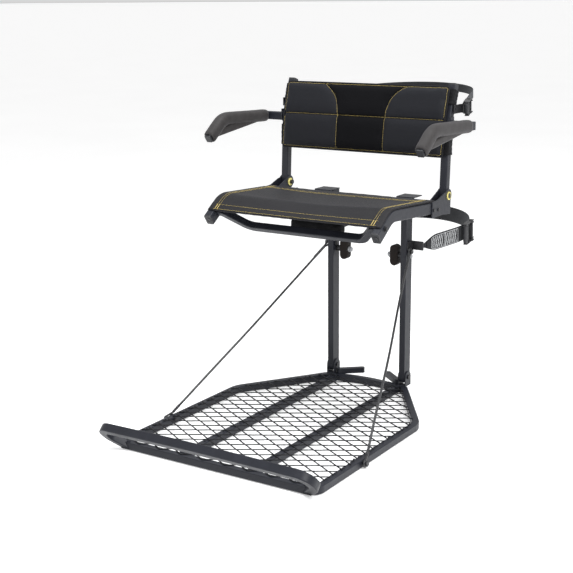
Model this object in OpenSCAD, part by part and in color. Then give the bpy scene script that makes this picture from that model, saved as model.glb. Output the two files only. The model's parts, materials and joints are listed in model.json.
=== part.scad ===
// Hang-on tree stand: folding mesh platform, twin-post mast, flip-up sling seat,
// padded backrest, flip-up padded arms, stay cables and two tree straps.
// Frame: +X is the sitter's left, +Y points to the tree, +Z is up.
// Origin: top of the platform tubes, midway between the posts, in the plane of the posts' front faces.
// In node names, "right" is +X and "left" is -X, as seen from in front, facing the tree.

/* [Platform] */
// Overall width of the platform
platform_w = 620; // [600:1:640]
// Distance from the posts' front faces to the platform's front edge
platform_l = 785; // [760:1:800]
// Width of the platform's square tube
tube = 20; // [19:0.5:21]
// How far the boot rail stands off the front tube, along its slope
rail_reach = 99; // [92:1:106]
// Slope of the boot rail above the platform
rail_tilt = 44; // [40:1:50]
// Long diagonal of one diamond of the expanded metal
mesh_long = 69; // [60:1:76]
// Short diagonal of one diamond of the expanded metal
mesh_short = 40.4; // [34:0.2:44]

/* [Mast] */
// Spacing between the centres of the two posts
post_gap = 246; // [240:1:250]
// Width of a post, side to side
post_w = 19; // [18:0.5:20]
// Depth of a post, front to back
post_d = 38; // [36:0.5:40]
// Height of the post tops above the platform
post_top = 574; // [570:1:576]
// Wall of the steel tubes
wall = 1.6; // [1.2:0.1:2]

/* [Seat] */
// Height of the seat hinge above the platform
seat_z = 592; // [588:1:596]
// Width over the two seat rails
seat_w = 546; // [540:1:550]
// Height of a seat rail's section
rail_h = 31; // [28:1:32]
// Width of the seat rails and uprights
rail_w = 22; // [20:0.5:22]

/* [Backrest and arms] */
// Height of the bend in the uprights
bend_z = 790; // [785:1:795]
// Height of the uprights' tops
back_z = 891; // [880:1:895]
// Sideways distance from the middle to each arm
arm_x = 332; // [330:1:336]
// Length of the arm's forward run
arm_l = 300; // [285:1:310]

/* [Tree straps] */
// Diameter of the trunk that the straps are set for
trunk_d = 410; // [400:5:420]
// Width of the strap webbing
web_w = 25; // [24:0.5:26]

/* [Hidden] */

steel = [0.23, 0.24, 0.27];
dark = [0.13, 0.13, 0.15];
cloth = [0.10, 0.10, 0.11];
foam = [0.24, 0.23, 0.24];
zinc = [0.75, 0.76, 0.78];
gold = [0.85, 0.75, 0.25];

plate = 3;                             // thickness of the bracket plates

// Sideways places, on the +X side
side_x = platform_w / 2 - tube / 2;    // centre of the platform's side tube
post_x = post_gap / 2;
post_in = post_x - post_w / 2;         // inner and outer faces of a post
post_out = post_x + post_w / 2;
rail_x = seat_w / 2 - rail_w / 2;      // centre of a seat rail and of an upright
rail_in = rail_x - rail_w / 2;         // their inner and outer faces
rail_out = rail_x + rail_w / 2;

// Axes of holes and bolts that run along X, as [y, z]
foot_hinge = [post_d / 2, 27];
cable_foot = [-564, -9];
cable_head = [14, 411];
paddle_axis = [24, 394];
seat_hinge = [-28, seat_z];
arm_hinge = [-17, 787];
front_bolt = [-391, 557.5];            // seat rail to front bar
rivets = [[-117, 564], [-90, 562]];    // seat rail to hinge bracket
top_hook = [-4, 829];                  // upper strap hook's pin

// ----------------------------------------------------------------- helpers
function unit(v) = v / norm(v);
// Signed angle from direction a to direction b
function turn(a, b) = atan2(a[0] * b[1] - a[1] * b[0], a[0] * b[0] + a[1] * b[1]);

module mirror_x() { mirror([1, 0, 0]) children(); }
// The +X piece and its mirror image
module both() {
  children();
  mirror_x() children();
}
// Maps drawn x to Y, drawn y to Z and drawn z to X, starting at x
module at_x(x) { translate([x, 0, 0]) rotate([90, 0, 90]) children(); }
// A [y, z] profile made thick along +X, starting at x
module slab(x, thick) { at_x(x) linear_extrude(thick) children(); }
// A [y, z] profile spanning the middle
module across(half_width) { slab(-half_width, 2 * half_width) children(); }
// Turns drawn z to run from a point in the XY plane in direction dir
module along(point, dir) {
  translate([point[0], point[1], 0]) rotate([0, 0, atan2(dir[1], dir[0])]) rotate([90, 0, 90]) children();
}
// Cylinder (or hex prism with fn = 6) from x0 to x1 about the axis at = [y, z]
module xcyl(x0, x1, at, radius, fn = 48) {
  translate([x0, at[0], at[1]]) rotate([0, 90, 0]) cylinder(h = x1 - x0, r = radius, $fn = fn);
}
// Hole through both side faces of a seat rail or upright
module rail_hole(at, radius, fn = 48, reach = 14) {
  xcyl(rail_x - reach, rail_x + reach, at, radius, fn);
}
// Straight round rod between two points
module rod(start, end, radius) {
  run = end - start;
  translate(start) rotate([0, acos(run[2] / norm(run)), atan2(run[1], run[0])])
    cylinder(h = norm(run), r = radius, $fn = 20);
}
// Rectangle with rounded corners, built from exact arcs
module rounded(wide, deep, corner) {
  square([wide - 2 * corner, deep], center = true);
  square([wide, deep - 2 * corner], center = true);
  for (x = [-1, 1], y = [-1, 1])
    translate([x * (wide / 2 - corner), y * (deep / 2 - corner)]) circle(r = corner, $fn = 24);
}
// Section of a rectangular tube
module ring(wide, deep, thick, corner) {
  difference() {
    rounded(wide, deep, corner);
    square([wide - 2 * thick, deep - 2 * thick], center = true);
  }
}
run_lap = 0.3;     // how far a straight run enters a bend
bend_extra = 0.02; // extra thickness of a bend's walls on every face
// Rectangular tube bent in its own plane: pts is the centre line, radii the bend radius at each
// inner point, wide the section's size in the plane and deep its size across it
module bent(pts, radii, wide, deep, thick, corner = 2) {
  last = len(pts) - 1;
  dirs = [for (i = [0:last - 1]) unit(pts[i + 1] - pts[i])];
  // length that each bend takes off the runs beside it
  trims = [for (i = [0:last])
    (i == 0 || i == last) ? 0 : radii[i - 1] * tan(abs(turn(dirs[i - 1], dirs[i])) / 2)];
  for (i = [0:last - 1]) {
    start = pts[i] + dirs[i] * (trims[i] - (i > 0 ? run_lap : 0));
    end = pts[i + 1] - dirs[i] * (trims[i + 1] - (i < last - 1 ? run_lap : 0));
    along(start, dirs[i]) linear_extrude(norm(end - start)) ring(wide, deep, thick, corner);
  }
  for (i = [1:1:last - 1]) {
    dir = dirs[i - 1];
    radius = radii[i - 1];
    angle = turn(dir, dirs[i]);
    inward = [-dir[1], dir[0]] * (angle > 0 ? 1 : -1);
    centre = pts[i] - dir * trims[i] + inward * radius;
    start_angle = atan2(-inward[1], -inward[0]);
    translate([centre[0], centre[1], 0]) rotate([0, 0, start_angle + min(angle, 0)])
      rotate_extrude(angle = abs(angle), $fn = radius > 1000 ? 960 : 96) translate([radius, 0])
        ring(wide + 2 * bend_extra, deep + 2 * bend_extra, thick + 2 * bend_extra, corner);
  }
}
// Cap on a tube's open end, with a plug that reaches back into the tube
module end_cap(point, dir, wide, deep, corner, plug) {
  hollow = 2 * wall + 0.4;
  along(point, dir) {
    translate([0, 0, 0.05]) linear_extrude(5) rounded(wide, deep, corner);
    translate([0, 0, -plug]) linear_extrude(plug + 0.1)
      square([wide - hollow, deep - hollow], center = true);
  }
}

// ---------------------------------------------------------------- platform
front_y = -(platform_l - tube / 2);    // centre of the front tube
taper_y = -250;                        // where the sides start to close in towards the posts

// One closed loop of tube, starting and ending in the middle of the front
module platform_frame() {
  color(steel) difference() {
    translate([0, 0, -tube / 2])
      bent([[0, front_y], [side_x, front_y], [side_x, taper_y], [128, 8], [0, 22], [-128, 8],
        [-side_x, taper_y], [-side_x, front_y], [0, front_y]],
        [24, 70, 30, 300, 30, 70, 24], tube, tube, wall);
    both() xcyl(side_x - 15, side_x + 15, cable_foot, 4.1);
  }
}
// Inner bar, cut square just short of the front and rear tubes
bar_x = 107;
module platform_bar_right() {
  color(steel) translate([0, 0, -tube / 2])
    bent([[bar_x, front_y + tube / 2 + 0.1], [bar_x, -2.5]], [], post_w, tube, wall);
}
module platform_bar_left() mirror_x() platform_bar_right();

boot_w = 23;                           // the boot rail's square tube
module boot_rail() {
  loop_x = platform_w / 2 + 6;         // half width of the loop's centre line
  cut_x = platform_w / 2 + 40;
  color(steel) difference() {
    translate([0, front_y, -tube / 2]) rotate([180 - rail_tilt, 0, 0])
      bent([[-280, -4], [-loop_x, 38], [-loop_x, rail_reach - 10], [0, rail_reach],
        [loop_x, rail_reach - 10], [loop_x, 38], [280, -4]],
        [30, 32, 2400, 32, 30], boot_w, boot_w, wall, 2.5);
    // the legs are notched round the front tube
    translate([-cut_x, front_y - tube / 2 - 0.1, -60]) cube([2 * cut_x, 60, 60.1]);
    translate([-cut_x, front_y - 4.2, -60]) cube([2 * cut_x, 60, 120]);
  }
}

// Expanded-metal deck: a sheet pierced by rows of diamonds, lapped over the tubes
strand = 3.2;
// Sideways limit of the diamonds' outer tips
function tip_limit(y) = side_x + 6 - max(0, y + 262) * (side_x - 130) / 258;
module platform_mesh() {
  sheet_front = front_y - 4;
  sheet_rear = -9;
  sheet_x = side_x + 3;
  half_long = mesh_long / 2 - strand * 1.15;
  half_short = mesh_short / 2 - strand * 0.66;
  rows = ceil((sheet_rear - sheet_front) / (mesh_short / 2));
  color(dark) translate([0, 0, 0.03]) linear_extrude(2.37) difference() {
    polygon([[-sheet_x, sheet_front], [sheet_x, sheet_front], [sheet_x, taper_y],
      [140, sheet_rear], [-140, sheet_rear], [-sheet_x, taper_y]]);
    for (row = [1:rows - 1], i = [-5:5]) {
      x = (i + (row % 2) / 2) * mesh_long;
      y = sheet_front + row * mesh_short / 2;
      if (abs(x) + half_long < tip_limit(y)
          && y + half_short < sheet_rear - 3 && y - half_short > sheet_front + 3)
        translate([x, y])
          polygon([[-half_long, 0], [0, -half_short], [half_long, 0], [0, half_short]]);
    }
  }
}

// Ears either side of a post's foot, joined by a floor on the platform
ear_gap = post_w / 2 + 0.6;            // from the post's centre to an ear
ear_r = 17;
module foot_clevis_right() {
  front = foot_hinge[0] - ear_r;
  color(steel) difference() {
    union() {
      translate([post_x - ear_gap - plate, front, 0.03])
        cube([2 * (ear_gap + plate), 22, plate - 0.03]);
      for (x = [post_x - ear_gap - plate, post_x + ear_gap]) slab(x, plate) {
        translate([front, 0.03]) square([2 * ear_r, foot_hinge[1]]);
        translate(foot_hinge) circle(r = ear_r, $fn = 64);
      }
    }
    xcyl(post_x - 20, post_x + 20, foot_hinge, 4.02);
  }
}
module foot_clevis_left() mirror_x() foot_clevis_right();
module platform_hinge_bolts() {
  x0 = post_x - ear_gap - plate;
  x1 = post_x + ear_gap + plate;
  color(dark) both() {
    xcyl(x0, x1, foot_hinge, 4);
    xcyl(x0 - 4, x0, foot_hinge, 7, 6);
    xcyl(x1, x1 + 4, foot_hinge, 7, 6);
  }
}
// Bars on the platform's back edge that bite the trunk as the platform comes down
module lower_tree_bars() {
  outer = [100, 17];
  inner = [46, 62];
  run = inner - outer;
  color(dark) both() linear_extrude(16) {
    for (end = [outer, inner]) translate(end) circle(r = 8.5, $fn = 32);
    translate((outer + inner) / 2) rotate([0, 0, atan2(run[1], run[0])])
      square([norm(run), 16], center = true);
  }
}
module cable_anchor_bolts() {
  color(dark) both() {
    xcyl(side_x - 14, side_x + 24, cable_foot, 4);
    for (x = [side_x - 18, side_x + 20]) xcyl(x, x + 4, cable_foot, 7, 6);
  }
}

// -------------------------------------------------------------------- mast
// Tube with a rounded foot, solid for its first 24 mm above the hinge
module post_right() {
  color(steel) difference() {
    union() {
      translate([post_x, foot_hinge[0], foot_hinge[1]]) linear_extrude(post_top - foot_hinge[1])
        rounded(post_w, post_d, 2);
      xcyl(post_in, post_out, foot_hinge, post_d / 2, 64);
    }
    translate([post_x, foot_hinge[0], foot_hinge[1] + 24]) linear_extrude(post_top)
      square([post_w - 2 * wall, post_d - 2 * wall], center = true);
    xcyl(post_x - 12, post_x + 12, foot_hinge, 4.05);
    xcyl(post_x - 12, post_x + 12, cable_head, 4.1);
    xcyl(post_x - 12, post_x + 12, paddle_axis, 4.1);
  }
}
module post_left() mirror_x() post_right();

bar_z = 540;                           // underside of the mast crossbar
bar_size = 18;                         // square section of both crossbars
bar_half = 227.5;                      // half length of the mast crossbar
module mast_crossbar() {
  color(steel) across(bar_half) translate([-bar_size / 2 - 0.05, bar_z + bar_size / 2])
    ring(bar_size, bar_size, wall, 2);
}
// Plate down the crossbar's front and a plate back over the post's top
module post_top_brackets() {
  front = -bar_size - plate - 0.1;
  top_thick = 2.5;
  color(steel) both() {
    translate([109, front, bar_z - 2]) cube([56, plate, post_top + top_thick - bar_z + 2]);
    translate([109, front, post_top + 0.05]) cube([56, bar_size + plate + post_d - 6, top_thick]);
  }
}
// Plate on the crossbar's end, with the spacer that carries the upright's foot
module end_bracket_right() {
  plate_x = bar_half + 0.1;
  thick = 3.4;
  spacer_x = plate_x + thick;
  y = seat_hinge[0];
  color(steel) {
    slab(plate_x, thick)
      polygon([[-bar_size - 3, bar_z], [3, bar_z], [3, bar_z + bar_size], [y + 11, seat_z - 18],
        [y - 13, seat_z - 18], [y - 13, bar_z + 10]]);
    // spacer between the plate and the upright, under the hinge
    translate([spacer_x, y - 11, seat_z - 40]) cube([rail_in - spacer_x - 0.05, 20, 20]);
  }
}
module end_bracket_left() mirror_x() end_bracket_right();

// ------------------------------------------------------ uprights and backrest
// Centre line of an upright in [y, z]: bottom, bend, top
upright_pts = [[seat_hinge[0] - 1, seat_z - 33], [-17, bend_z], [17, back_z]];
upright_low_dir = unit(upright_pts[1] - upright_pts[0]);
upright_top_dir = unit(upright_pts[2] - upright_pts[1]);
arm_bolt_r = 5;

module upright_right() {
  color(steel) difference() {
    at_x(rail_x) bent(upright_pts, [60], rail_w, rail_w, wall, 2.5);
    rail_hole(seat_hinge, 5.05);
    rail_hole(arm_hinge, arm_bolt_r + 0.05);
    rail_hole(top_hook, 3.1, 24);
  }
}
module upright_left() mirror_x() upright_right();
module upright_caps() {
  color(dark) both() at_x(rail_x)
    end_cap(upright_pts[2], upright_top_dir, rail_w, rail_w, corner = 3, plug = 14);
}
module back_crossbar() {
  color(steel) across(rail_in - 0.05) translate([-1, 812]) ring(bar_size, bar_size, wall, 2);
}

// Backrest profiles in [y, z]
// Front panel over the uprights: up the rear face, down the front face
pad_panel = [[-49, 698], [-41.5, 698], [-33.5, 789], [-30.5, 799], [1, 891], [-10, 893], [-38, 798]];
// Thicker body between the uprights, below and above the bend
pad_low = [[-43, 700], [-24, 702], [-13, 789], [-12, 798], [-31, 800], [-35, 789]];
pad_high = [[-12, 798], [-32, 800], [-1.5, 889], [13, 886], [10, 845], [-12, 822]];
module back_pad() {
  color(cloth) {
    across(266) polygon(pad_panel);
    across(rail_in - 9) polygon(pad_low);
    across(rail_in - 9) polygon(pad_high);
  }
}
// Loop round the upright's run through point in direction dir, between two heights
module sleeve(point, dir, z0, z1) {
  size = (z1 - z0) / dir[1];
  both() at_x(rail_x) along(point + dir * (z0 - point[1]) / dir[1], dir) difference() {
    linear_extrude(size) rounded(rail_w + 4.4, rail_w + 4.4, 3);
    translate([0, 0, -1]) linear_extrude(size + 2) square([rail_w + 0.6, rail_w + 0.6], center = true);
  }
}
// Fabric loops that hold the pad on the uprights
module pad_sleeves() {
  color(cloth) {
    sleeve(upright_pts[0], upright_low_dir, 702, 764);
    sleeve(upright_pts[1], upright_top_dir, 838, 880);
  }
}

// ------------------------------------------------------ paddles and mast bolts
paddle_x = 85;
paddle_r = 13;
// Upright block with round ends, bolted beside the post's inner face
module tree_paddle_right() {
  color(dark) difference() {
    translate([paddle_x, 36, paddle_axis[1]]) rotate([90, 0, 0]) linear_extrude(22) {
      square([2 * paddle_r, 36], center = true);
      for (z = [-18, 18]) translate([0, z]) circle(r = paddle_r, $fn = 48);
    }
    xcyl(70, 105, paddle_axis, 4.1);
  }
}
module tree_paddle_left() mirror_x() tree_paddle_right();
module paddle_bolts() {
  head_x = paddle_x - paddle_r - 5;
  color(zinc) both() {
    xcyl(head_x, post_out + 5, paddle_axis, 4);
    xcyl(head_x - 5, head_x, paddle_axis, 7, 6);
    xcyl(head_x + 0.01, head_x + 4.9, paddle_axis, 9);
    xcyl(post_out + 0.05, post_out + 6, paddle_axis, 7, 6);
  }
}
module paddle_spacers() {
  color(dark) both() difference() {
    xcyl(paddle_x + paddle_r + 0.05, post_in - 0.05, paddle_axis, 9);
    xcyl(90, 120, paddle_axis, 4.1);
  }
}
module post_anchor_bolts() {
  color(dark) both() {
    xcyl(post_in - 1, post_out + 11, cable_head, 4);
    for (x = [post_in - 5, post_out + 10]) xcyl(x, x + 4, cable_head, 7, 6);
  }
}
module seat_pivot_bolts() {
  color(dark) both() {
    xcyl(241, rail_out + 6.6, seat_hinge, 5);
    xcyl(237.5, 241, seat_hinge, 7, 6);
    xcyl(rail_out + 4.6, rail_out + 6.6, seat_hinge, 7.5);
  }
}

// ------------------------------------------------------------------ cables
cable_top = [post_out + 5.5, cable_head[0], cable_head[1]];   // centre of each end's eye
cable_low = [side_x + 16.5, cable_foot[0], cable_foot[1]];
cable_dir = unit(cable_low - cable_top);
module cable_right() {
  color(dark) {
    rod(cable_top + cable_dir * 7.5, cable_low - cable_dir * 7.5, 2.3);
    for (end = [cable_top, cable_low]) translate(end) rotate([0, 90, 0])
      rotate_extrude($fn = 48) translate([7.2, 0]) circle(r = 2.2, $fn = 16);
  }
}
module cable_left() mirror_x() cable_right();
// Sleeve round the cable; near and far are its ends' distances from the eye
module ferrule(end, dir, near, far) {
  difference() {
    rod(end + dir * near, end + dir * far, 4.2);
    rod(end, end + dir * 80, 2.4);
  }
}
module cable_ferrules() {
  color(zinc) both() {
    ferrule(cable_top, cable_dir, 12, 58);
    ferrule(cable_low, -cable_dir, 25, 52);
  }
}

// -------------------------------------------------------------------- seat
// Centre line of a seat rail in [y, z]: rear end, bend, front end
rail_pts = [[-75, seat_z - 25.7], [-352, seat_z - 8.5], [-417.5, seat_z - 53.5]];
module seat_rail_right() {
  color(steel) difference() {
    at_x(rail_x) bent(rail_pts, [60], rail_h, rail_w, wall, 2.5);
    for (at = rivets) rail_hole(at, 3.1, 24);
    rail_hole(front_bolt, 3.56, 32);
  }
}
module seat_rail_left() mirror_x() seat_rail_right();
module seat_rail_caps() {
  color(dark) both() at_x(rail_x)
    end_cap(rail_pts[2], unit(rail_pts[2] - rail_pts[1]), rail_h, rail_w, corner = 3, plug = 10);
}
// Bar that hangs down and back from the rails, trimmed to their inner faces
module seat_front_bar() {
  color(steel) intersection() {
    translate([0, front_bolt[0], front_bolt[1]]) rotate([-39.5, 0, 0])
      bent([[-rail_in - 12, 0], [14 - rail_in, 0], [-181, 70],
        [181, 70], [rail_in - 14, 0], [rail_in + 12, 0]], [20, 45, 45, 20], tube, tube, wall);
    translate([-rail_in + 0.1, -430, 480]) cube([2 * rail_in - 0.2, 130, 120]);
  }
}
// Side plates and floor around the rail's rear end
module hinge_bracket_right() {
  y = seat_hinge[0];
  outer_x = rail_out + 0.1;
  inner_x = rail_in - plate - 0.1;
  color(steel) difference() {
    union() {
      // outer plate
      slab(outer_x, plate) {
        polygon([[-128, 550], [-15, 539], [-14, seat_z - 10], [y + 13, seat_z + 13],
          [-50, seat_z + 12], [-92, seat_z - 2], [-128, seat_z - 5]]);
        translate(seat_hinge) circle(r = 19, $fn = 64);
      }
      // floor under the rail
      slab(inner_x, rail_w + 2 * plate + 0.2)
        polygon([[-128, 546.7], [-128, 543.7], [-70, 543.7], [-70, 546.7]]);
      // inner plate, clear of the spacer under the hinge
      slab(inner_x, plate) {
        polygon([[-128, 546], [-72, 546], [-48, 574.5], [y, 575], [y, seat_z + 18],
          [-50, seat_z + 10], [-92, seat_z - 8], [-128, 579]]);
        translate(seat_hinge) circle(r = 19, $fn = 64);
      }
      // lower edge of the outer plate, down to the floor
      slab(outer_x, plate) polygon([[-128, 543.7], [-70, 543.7], [-70, 552], [-128, 552]]);
    }
    xcyl(rail_out - 2, rail_out + 6, seat_hinge, 7.02);
    xcyl(rail_in - 6, rail_in + 2, seat_hinge, 7.02);
    for (at = rivets) rail_hole(at, 3.1, 24, reach = 20);
  }
}
module hinge_bracket_left() mirror_x() hinge_bracket_right();
// Nylon flanged bushings in the seat brackets
module pivot_bushings() {
  color(gold) both() difference() {
    union() {
      xcyl(rail_out + 0.15, rail_out + 4.5, seat_hinge, 7);
      xcyl(rail_out + 3.15, rail_out + 5.6, seat_hinge, 11.4);
      xcyl(rail_in - 3.5, rail_in - 0.15, seat_hinge, 7);
      xcyl(rail_in - 5.6, rail_in - 3.15, seat_hinge, 11.4);
    }
    xcyl(rail_in - 8, rail_in + 2, seat_hinge, 5.04);
    xcyl(rail_out, rail_out + 8, seat_hinge, 5.04);
    // recess for the pivot bolt's round end
    xcyl(rail_out + 4.5, rail_out + 8, seat_hinge, 7.7);
  }
}
module bracket_rivets() {
  color(dark) both() for (at = rivets) {
    xcyl(rail_in - 5, rail_out + 5, at, 3);
    xcyl(rail_out + 3.15, rail_out + 5.2, at, 5);
    xcyl(rail_in - 5.2, rail_in - 3.15, at, 5);
  }
}
// Bolts from each rail's outer face into the front bar's hollow end, with the nut inside the bar
module rail_bolts() {
  color(zinc) both() {
    xcyl(rail_in - 8, rail_out + 6, front_bolt, 3.5, 32);
    xcyl(rail_out + 0.05, rail_out + 1.6, front_bolt, 8);
    xcyl(rail_out + 1.6, rail_out + 6, front_bolt, 6, 6);
    xcyl(rail_in - 8, rail_in - 4, front_bolt, 5.6, 6);
  }
}
// Woven sling stretched over the rails; its underside in [y, z], rear to front
sling_under = [[-107, 586.2], [-352, 601.2], [-392, 591], [-416, 576]];
sling_thick = 4;
module seat_sling() {
  color(cloth) across(rail_out - 1)
    polygon(concat(sling_under, [for (i = [3:-1:0]) sling_under[i] + [0, sling_thick]]));
}
module under_seat_pouch() {
  color(cloth) translate([-82, -294, 502]) cube([164, 38, 37]);
}

// -------------------------------------------------------------------- arms
arm_h = 22;                            // section of the arm tube
arm_w = 19;
arm_bend = 75;
// Centre line of an arm's forward run in [y, z]: rear end, bend, front end
arm_pts = [arm_hinge + [-7, 0.3], arm_hinge + [-12 - arm_l * 0.74, 9], arm_hinge + [-arm_l, -40]];
arm_rear_dir = unit(arm_pts[1] - arm_pts[0]);
arm_front_dir = unit(arm_pts[2] - arm_pts[1]);
module arm_tube_right() {
  leg_x = rail_out + 5;
  color(steel) difference() {
    union() {
      // forward run, bent down at the front
      at_x(arm_x) bent(arm_pts, [arm_bend], arm_h, arm_w, wall);
      // leg across to the upright
      slab(leg_x, arm_x - leg_x + 9.2) translate(arm_hinge) rounded(24, 23, 2);
    }
    xcyl(rail_x, arm_x - 15, arm_hinge, arm_bolt_r + 0.02);
  }
}
module arm_tube_left() mirror_x() arm_tube_right();
// Foam sleeve, stopping 11 mm short of the forward run's ends
module arm_grip_right() {
  color(foam) at_x(arm_x)
    bent([arm_pts[0] + arm_rear_dir * 11, arm_pts[1], arm_pts[2] - arm_front_dir * 11],
      [arm_bend], 36.4, 33.4, thick = 7, corner = 13);
}
module arm_grip_left() mirror_x() arm_grip_right();
module arm_cap_right() {
  color(dark) at_x(arm_x) end_cap(arm_pts[2], arm_front_dir, arm_h, arm_w, corner = 2.5, plug = 9);
}
module arm_cap_left() mirror_x() arm_cap_right();
// The bolt turns with the arm inside the upright
module arm_bolt_right() {
  color(dark) {
    xcyl(rail_in - 2, arm_x - 16, arm_hinge, arm_bolt_r);
    xcyl(rail_in - 6, rail_in - 2, arm_hinge, 8.5, 6);
  }
}
module arm_bolt_left() mirror_x() arm_bolt_right();
// Bearing plates on the uprights' outer faces
module arm_plates() {
  color(zinc) both() difference() {
    slab(rail_out + 0.05, 4) translate(arm_hinge) {
      circle(r = 15, $fn = 48);
      translate([-11, 0]) square([22, 22]);
    }
    xcyl(rail_x, rail_x + 30, arm_hinge, arm_bolt_r + 0.05);
  }
}

// ------------------------------------------------------------- tree straps
trunk_r = trunk_d / 2;
trunk_y = trunk_r + 24;                // trunk axis behind the posts' front faces
low_z = 426;                           // height of a strap at its hooks
top_z = top_hook[1];
strap_rise = 3.8;                      // slope of a strap, up towards the back of the trunk
web_t = 2.4;
web_r = trunk_r + web_t / 2;           // middle of the web's thickness, round the trunk
low_w = 2 * web_w - 2;                 // the lower web is nearly double width
low_end = [post_out + 34, 39.5];       // where a web meets its hook, [x, y]
top_end = [rail_out + 9.5, 33];

// Tilts a strap drawn level, about a line across the hooks
module sloped(z) {
  translate([0, 38, z]) rotate([strap_rise, 0, 0]) translate([0, -38, 0]) children();
}
// Direction, from the trunk's axis, of the point where the web leaves the trunk for its hook
function leave_angle(end) =
  atan2(end[1] - trunk_y, end[0]) + acos(web_r / norm([end[0], end[1] - trunk_y]));
function leave_point(angle) = [cos(angle) * web_r, trunk_y + sin(angle) * web_r];
// Web round the trunk and on to the two hooks, narrowed to end_w at the hooks
module web_loop(end, wide, end_w) {
  angle = leave_angle(end);
  start = leave_point(angle);
  run = end - start;
  reach = norm(run);
  translate([0, trunk_y, -wide / 2]) rotate([0, 0, angle])
    rotate_extrude(angle = 180 - 2 * angle, $fn = 160)
      translate([trunk_r - 0.03, -0.03]) square([web_t + 0.06, wide + 0.06]);
  both() translate([start[0], start[1], 0]) rotate([0, 0, atan2(run[1], run[0])])
    translate([0, web_t / 2, 0]) rotate([90, 0, 0]) linear_extrude(web_t)
      polygon([[-0.5, -wide / 2], [reach * 0.5, -wide / 2], [reach, -end_w / 2],
        [reach, end_w / 2], [reach * 0.5, wide / 2], [-0.5, wide / 2]]);
}
module lower_strap_web() {
  color(cloth) sloped(low_z) web_loop(low_end, low_w, web_w);
}
module upper_strap_web() {
  color(cloth) sloped(top_z) web_loop(top_end, web_w, web_w);
}
module strap_hooks() {
  color(dark) both() {
    // lower: angle plate on the post's side
    translate([post_out + 0.05, 4, low_z - 9.5]) cube([plate, 34, 22.5]);
    translate([post_out + 0.05, 34, low_z - 13]) cube([37, 4, 26]);
    // upper: pin through the upright and a flat link beside it
    xcyl(rail_in - 3, rail_out + 10, top_hook, 3);
    xcyl(rail_in - 6, rail_in - 3, top_hook, 5.5, 6);
    translate([rail_out + 5, -12, top_z - 12]) cube([plate, 43.6, 24]);
    translate([rail_out + 5, 28, top_z - 12]) cube([10, 3.6, 24]);
  }
}

// Ratchets, each drawn with x away from the trunk, y along the web and z across it
low_angle = 7;                         // lower ratchet, on the trunk
top_run = 0.15;                        // upper ratchet, as a share of the run from its hook
ratchet_gap = 0.4;                     // between a web and its ratchet
module at_low() {
  seat_r = trunk_r + web_t + ratchet_gap;
  sloped(low_z) translate([cos(low_angle) * seat_r, trunk_y + sin(low_angle) * seat_r, 0])
    rotate([0, 0, low_angle]) children();
}
module at_top() {
  angle = leave_angle(top_end);
  place = top_end + top_run * (leave_point(angle) - top_end)
    + (web_t / 2 + ratchet_gap) * [cos(angle), sin(angle)];
  sloped(top_z) translate([place[0], place[1], 0]) rotate([0, 0, angle]) children();
}
spindle = [12, 0];                     // the handle's pivot
cross_pin = [12, -24];
low_half = low_w / 2 + 2;              // half the space between a ratchet's side plates
top_half = web_w / 2 + 2;

// Round bar across a ratchet, reaching past the side plates' inner faces by extra
module cross_bar(at, half, extra, radius) {
  translate([at[0], at[1], -half - extra]) cylinder(h = 2 * (half + extra), r = radius, $fn = 32);
}
module ratchet_frame(half) {
  side = 2.5;
  difference() {
    union() {
      for (z = [-half - side, half]) translate([0, 0, z]) linear_extrude(side) {
        translate([0, -30]) square([14, 60]);
        translate(spindle) circle(r = 11, $fn = 48);
        translate(cross_pin) circle(r = 6, $fn = 32);
      }
      translate([0, -30, -half - 0.1]) cube([side, 60, 2 * half + 0.2]);
    }
    cross_bar(spindle, half, 5, 4.05);
    cross_bar(cross_pin, half, 5, 3.05);
  }
}
module ratchet_handle(half) {
  difference() {
    union() {
      for (side = [-1, 1]) translate([0, 0, side * (half + 4.4) - 1]) linear_extrude(2) {
        translate(spindle) circle(r = 8.5, $fn = 40);
        translate([6, -52]) square([12, 52]);
      }
      translate([7, -52, -half - 3.6]) cube([10, 9, 2 * half + 7.2]);
    }
    cross_bar(spindle, half, 9, 4.05);
  }
}
module pin_pair(half) {
  cross_bar(spindle, half, 7, 4);
  cross_bar(cross_pin, half, 3, 3);
}
module lower_ratchet_frame() { color(dark) at_low() ratchet_frame(low_half); }
module lower_ratchet_handle() { color(zinc) at_low() ratchet_handle(low_half); }
module upper_ratchet_frame() { color(dark) at_top() ratchet_frame(top_half); }
module upper_ratchet_handle() { color(zinc) at_top() ratchet_handle(top_half); }
module ratchet_pins() {
  color(zinc) {
    at_low() pin_pair(low_half);
    at_top() pin_pair(top_half);
  }
}

platform_frame();
platform_bar_left();
platform_bar_right();
boot_rail();
platform_mesh();
foot_clevis_left();
foot_clevis_right();
platform_hinge_bolts();
lower_tree_bars();
cable_anchor_bolts();
post_left();
post_right();
mast_crossbar();
post_top_brackets();
end_bracket_left();
end_bracket_right();
upright_left();
upright_right();
upright_caps();
back_crossbar();
back_pad();
pad_sleeves();
tree_paddle_left();
tree_paddle_right();
paddle_bolts();
paddle_spacers();
post_anchor_bolts();
seat_pivot_bolts();
cable_left();
cable_right();
cable_ferrules();
seat_rail_left();
seat_rail_right();
seat_rail_caps();
seat_front_bar();
hinge_bracket_left();
hinge_bracket_right();
pivot_bushings();
bracket_rivets();
rail_bolts();
seat_sling();
under_seat_pouch();
arm_tube_left();
arm_grip_left();
arm_cap_left();
arm_bolt_left();
arm_tube_right();
arm_grip_right();
arm_cap_right();
arm_bolt_right();
arm_plates();
strap_hooks();
lower_strap_web();
lower_ratchet_frame();
lower_ratchet_handle();
upper_strap_web();
upper_ratchet_frame();
upper_ratchet_handle();
ratchet_pins();
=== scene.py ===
import bpy, bmesh, math, json, random
import numpy as np
from mathutils import Vector, Matrix


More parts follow.
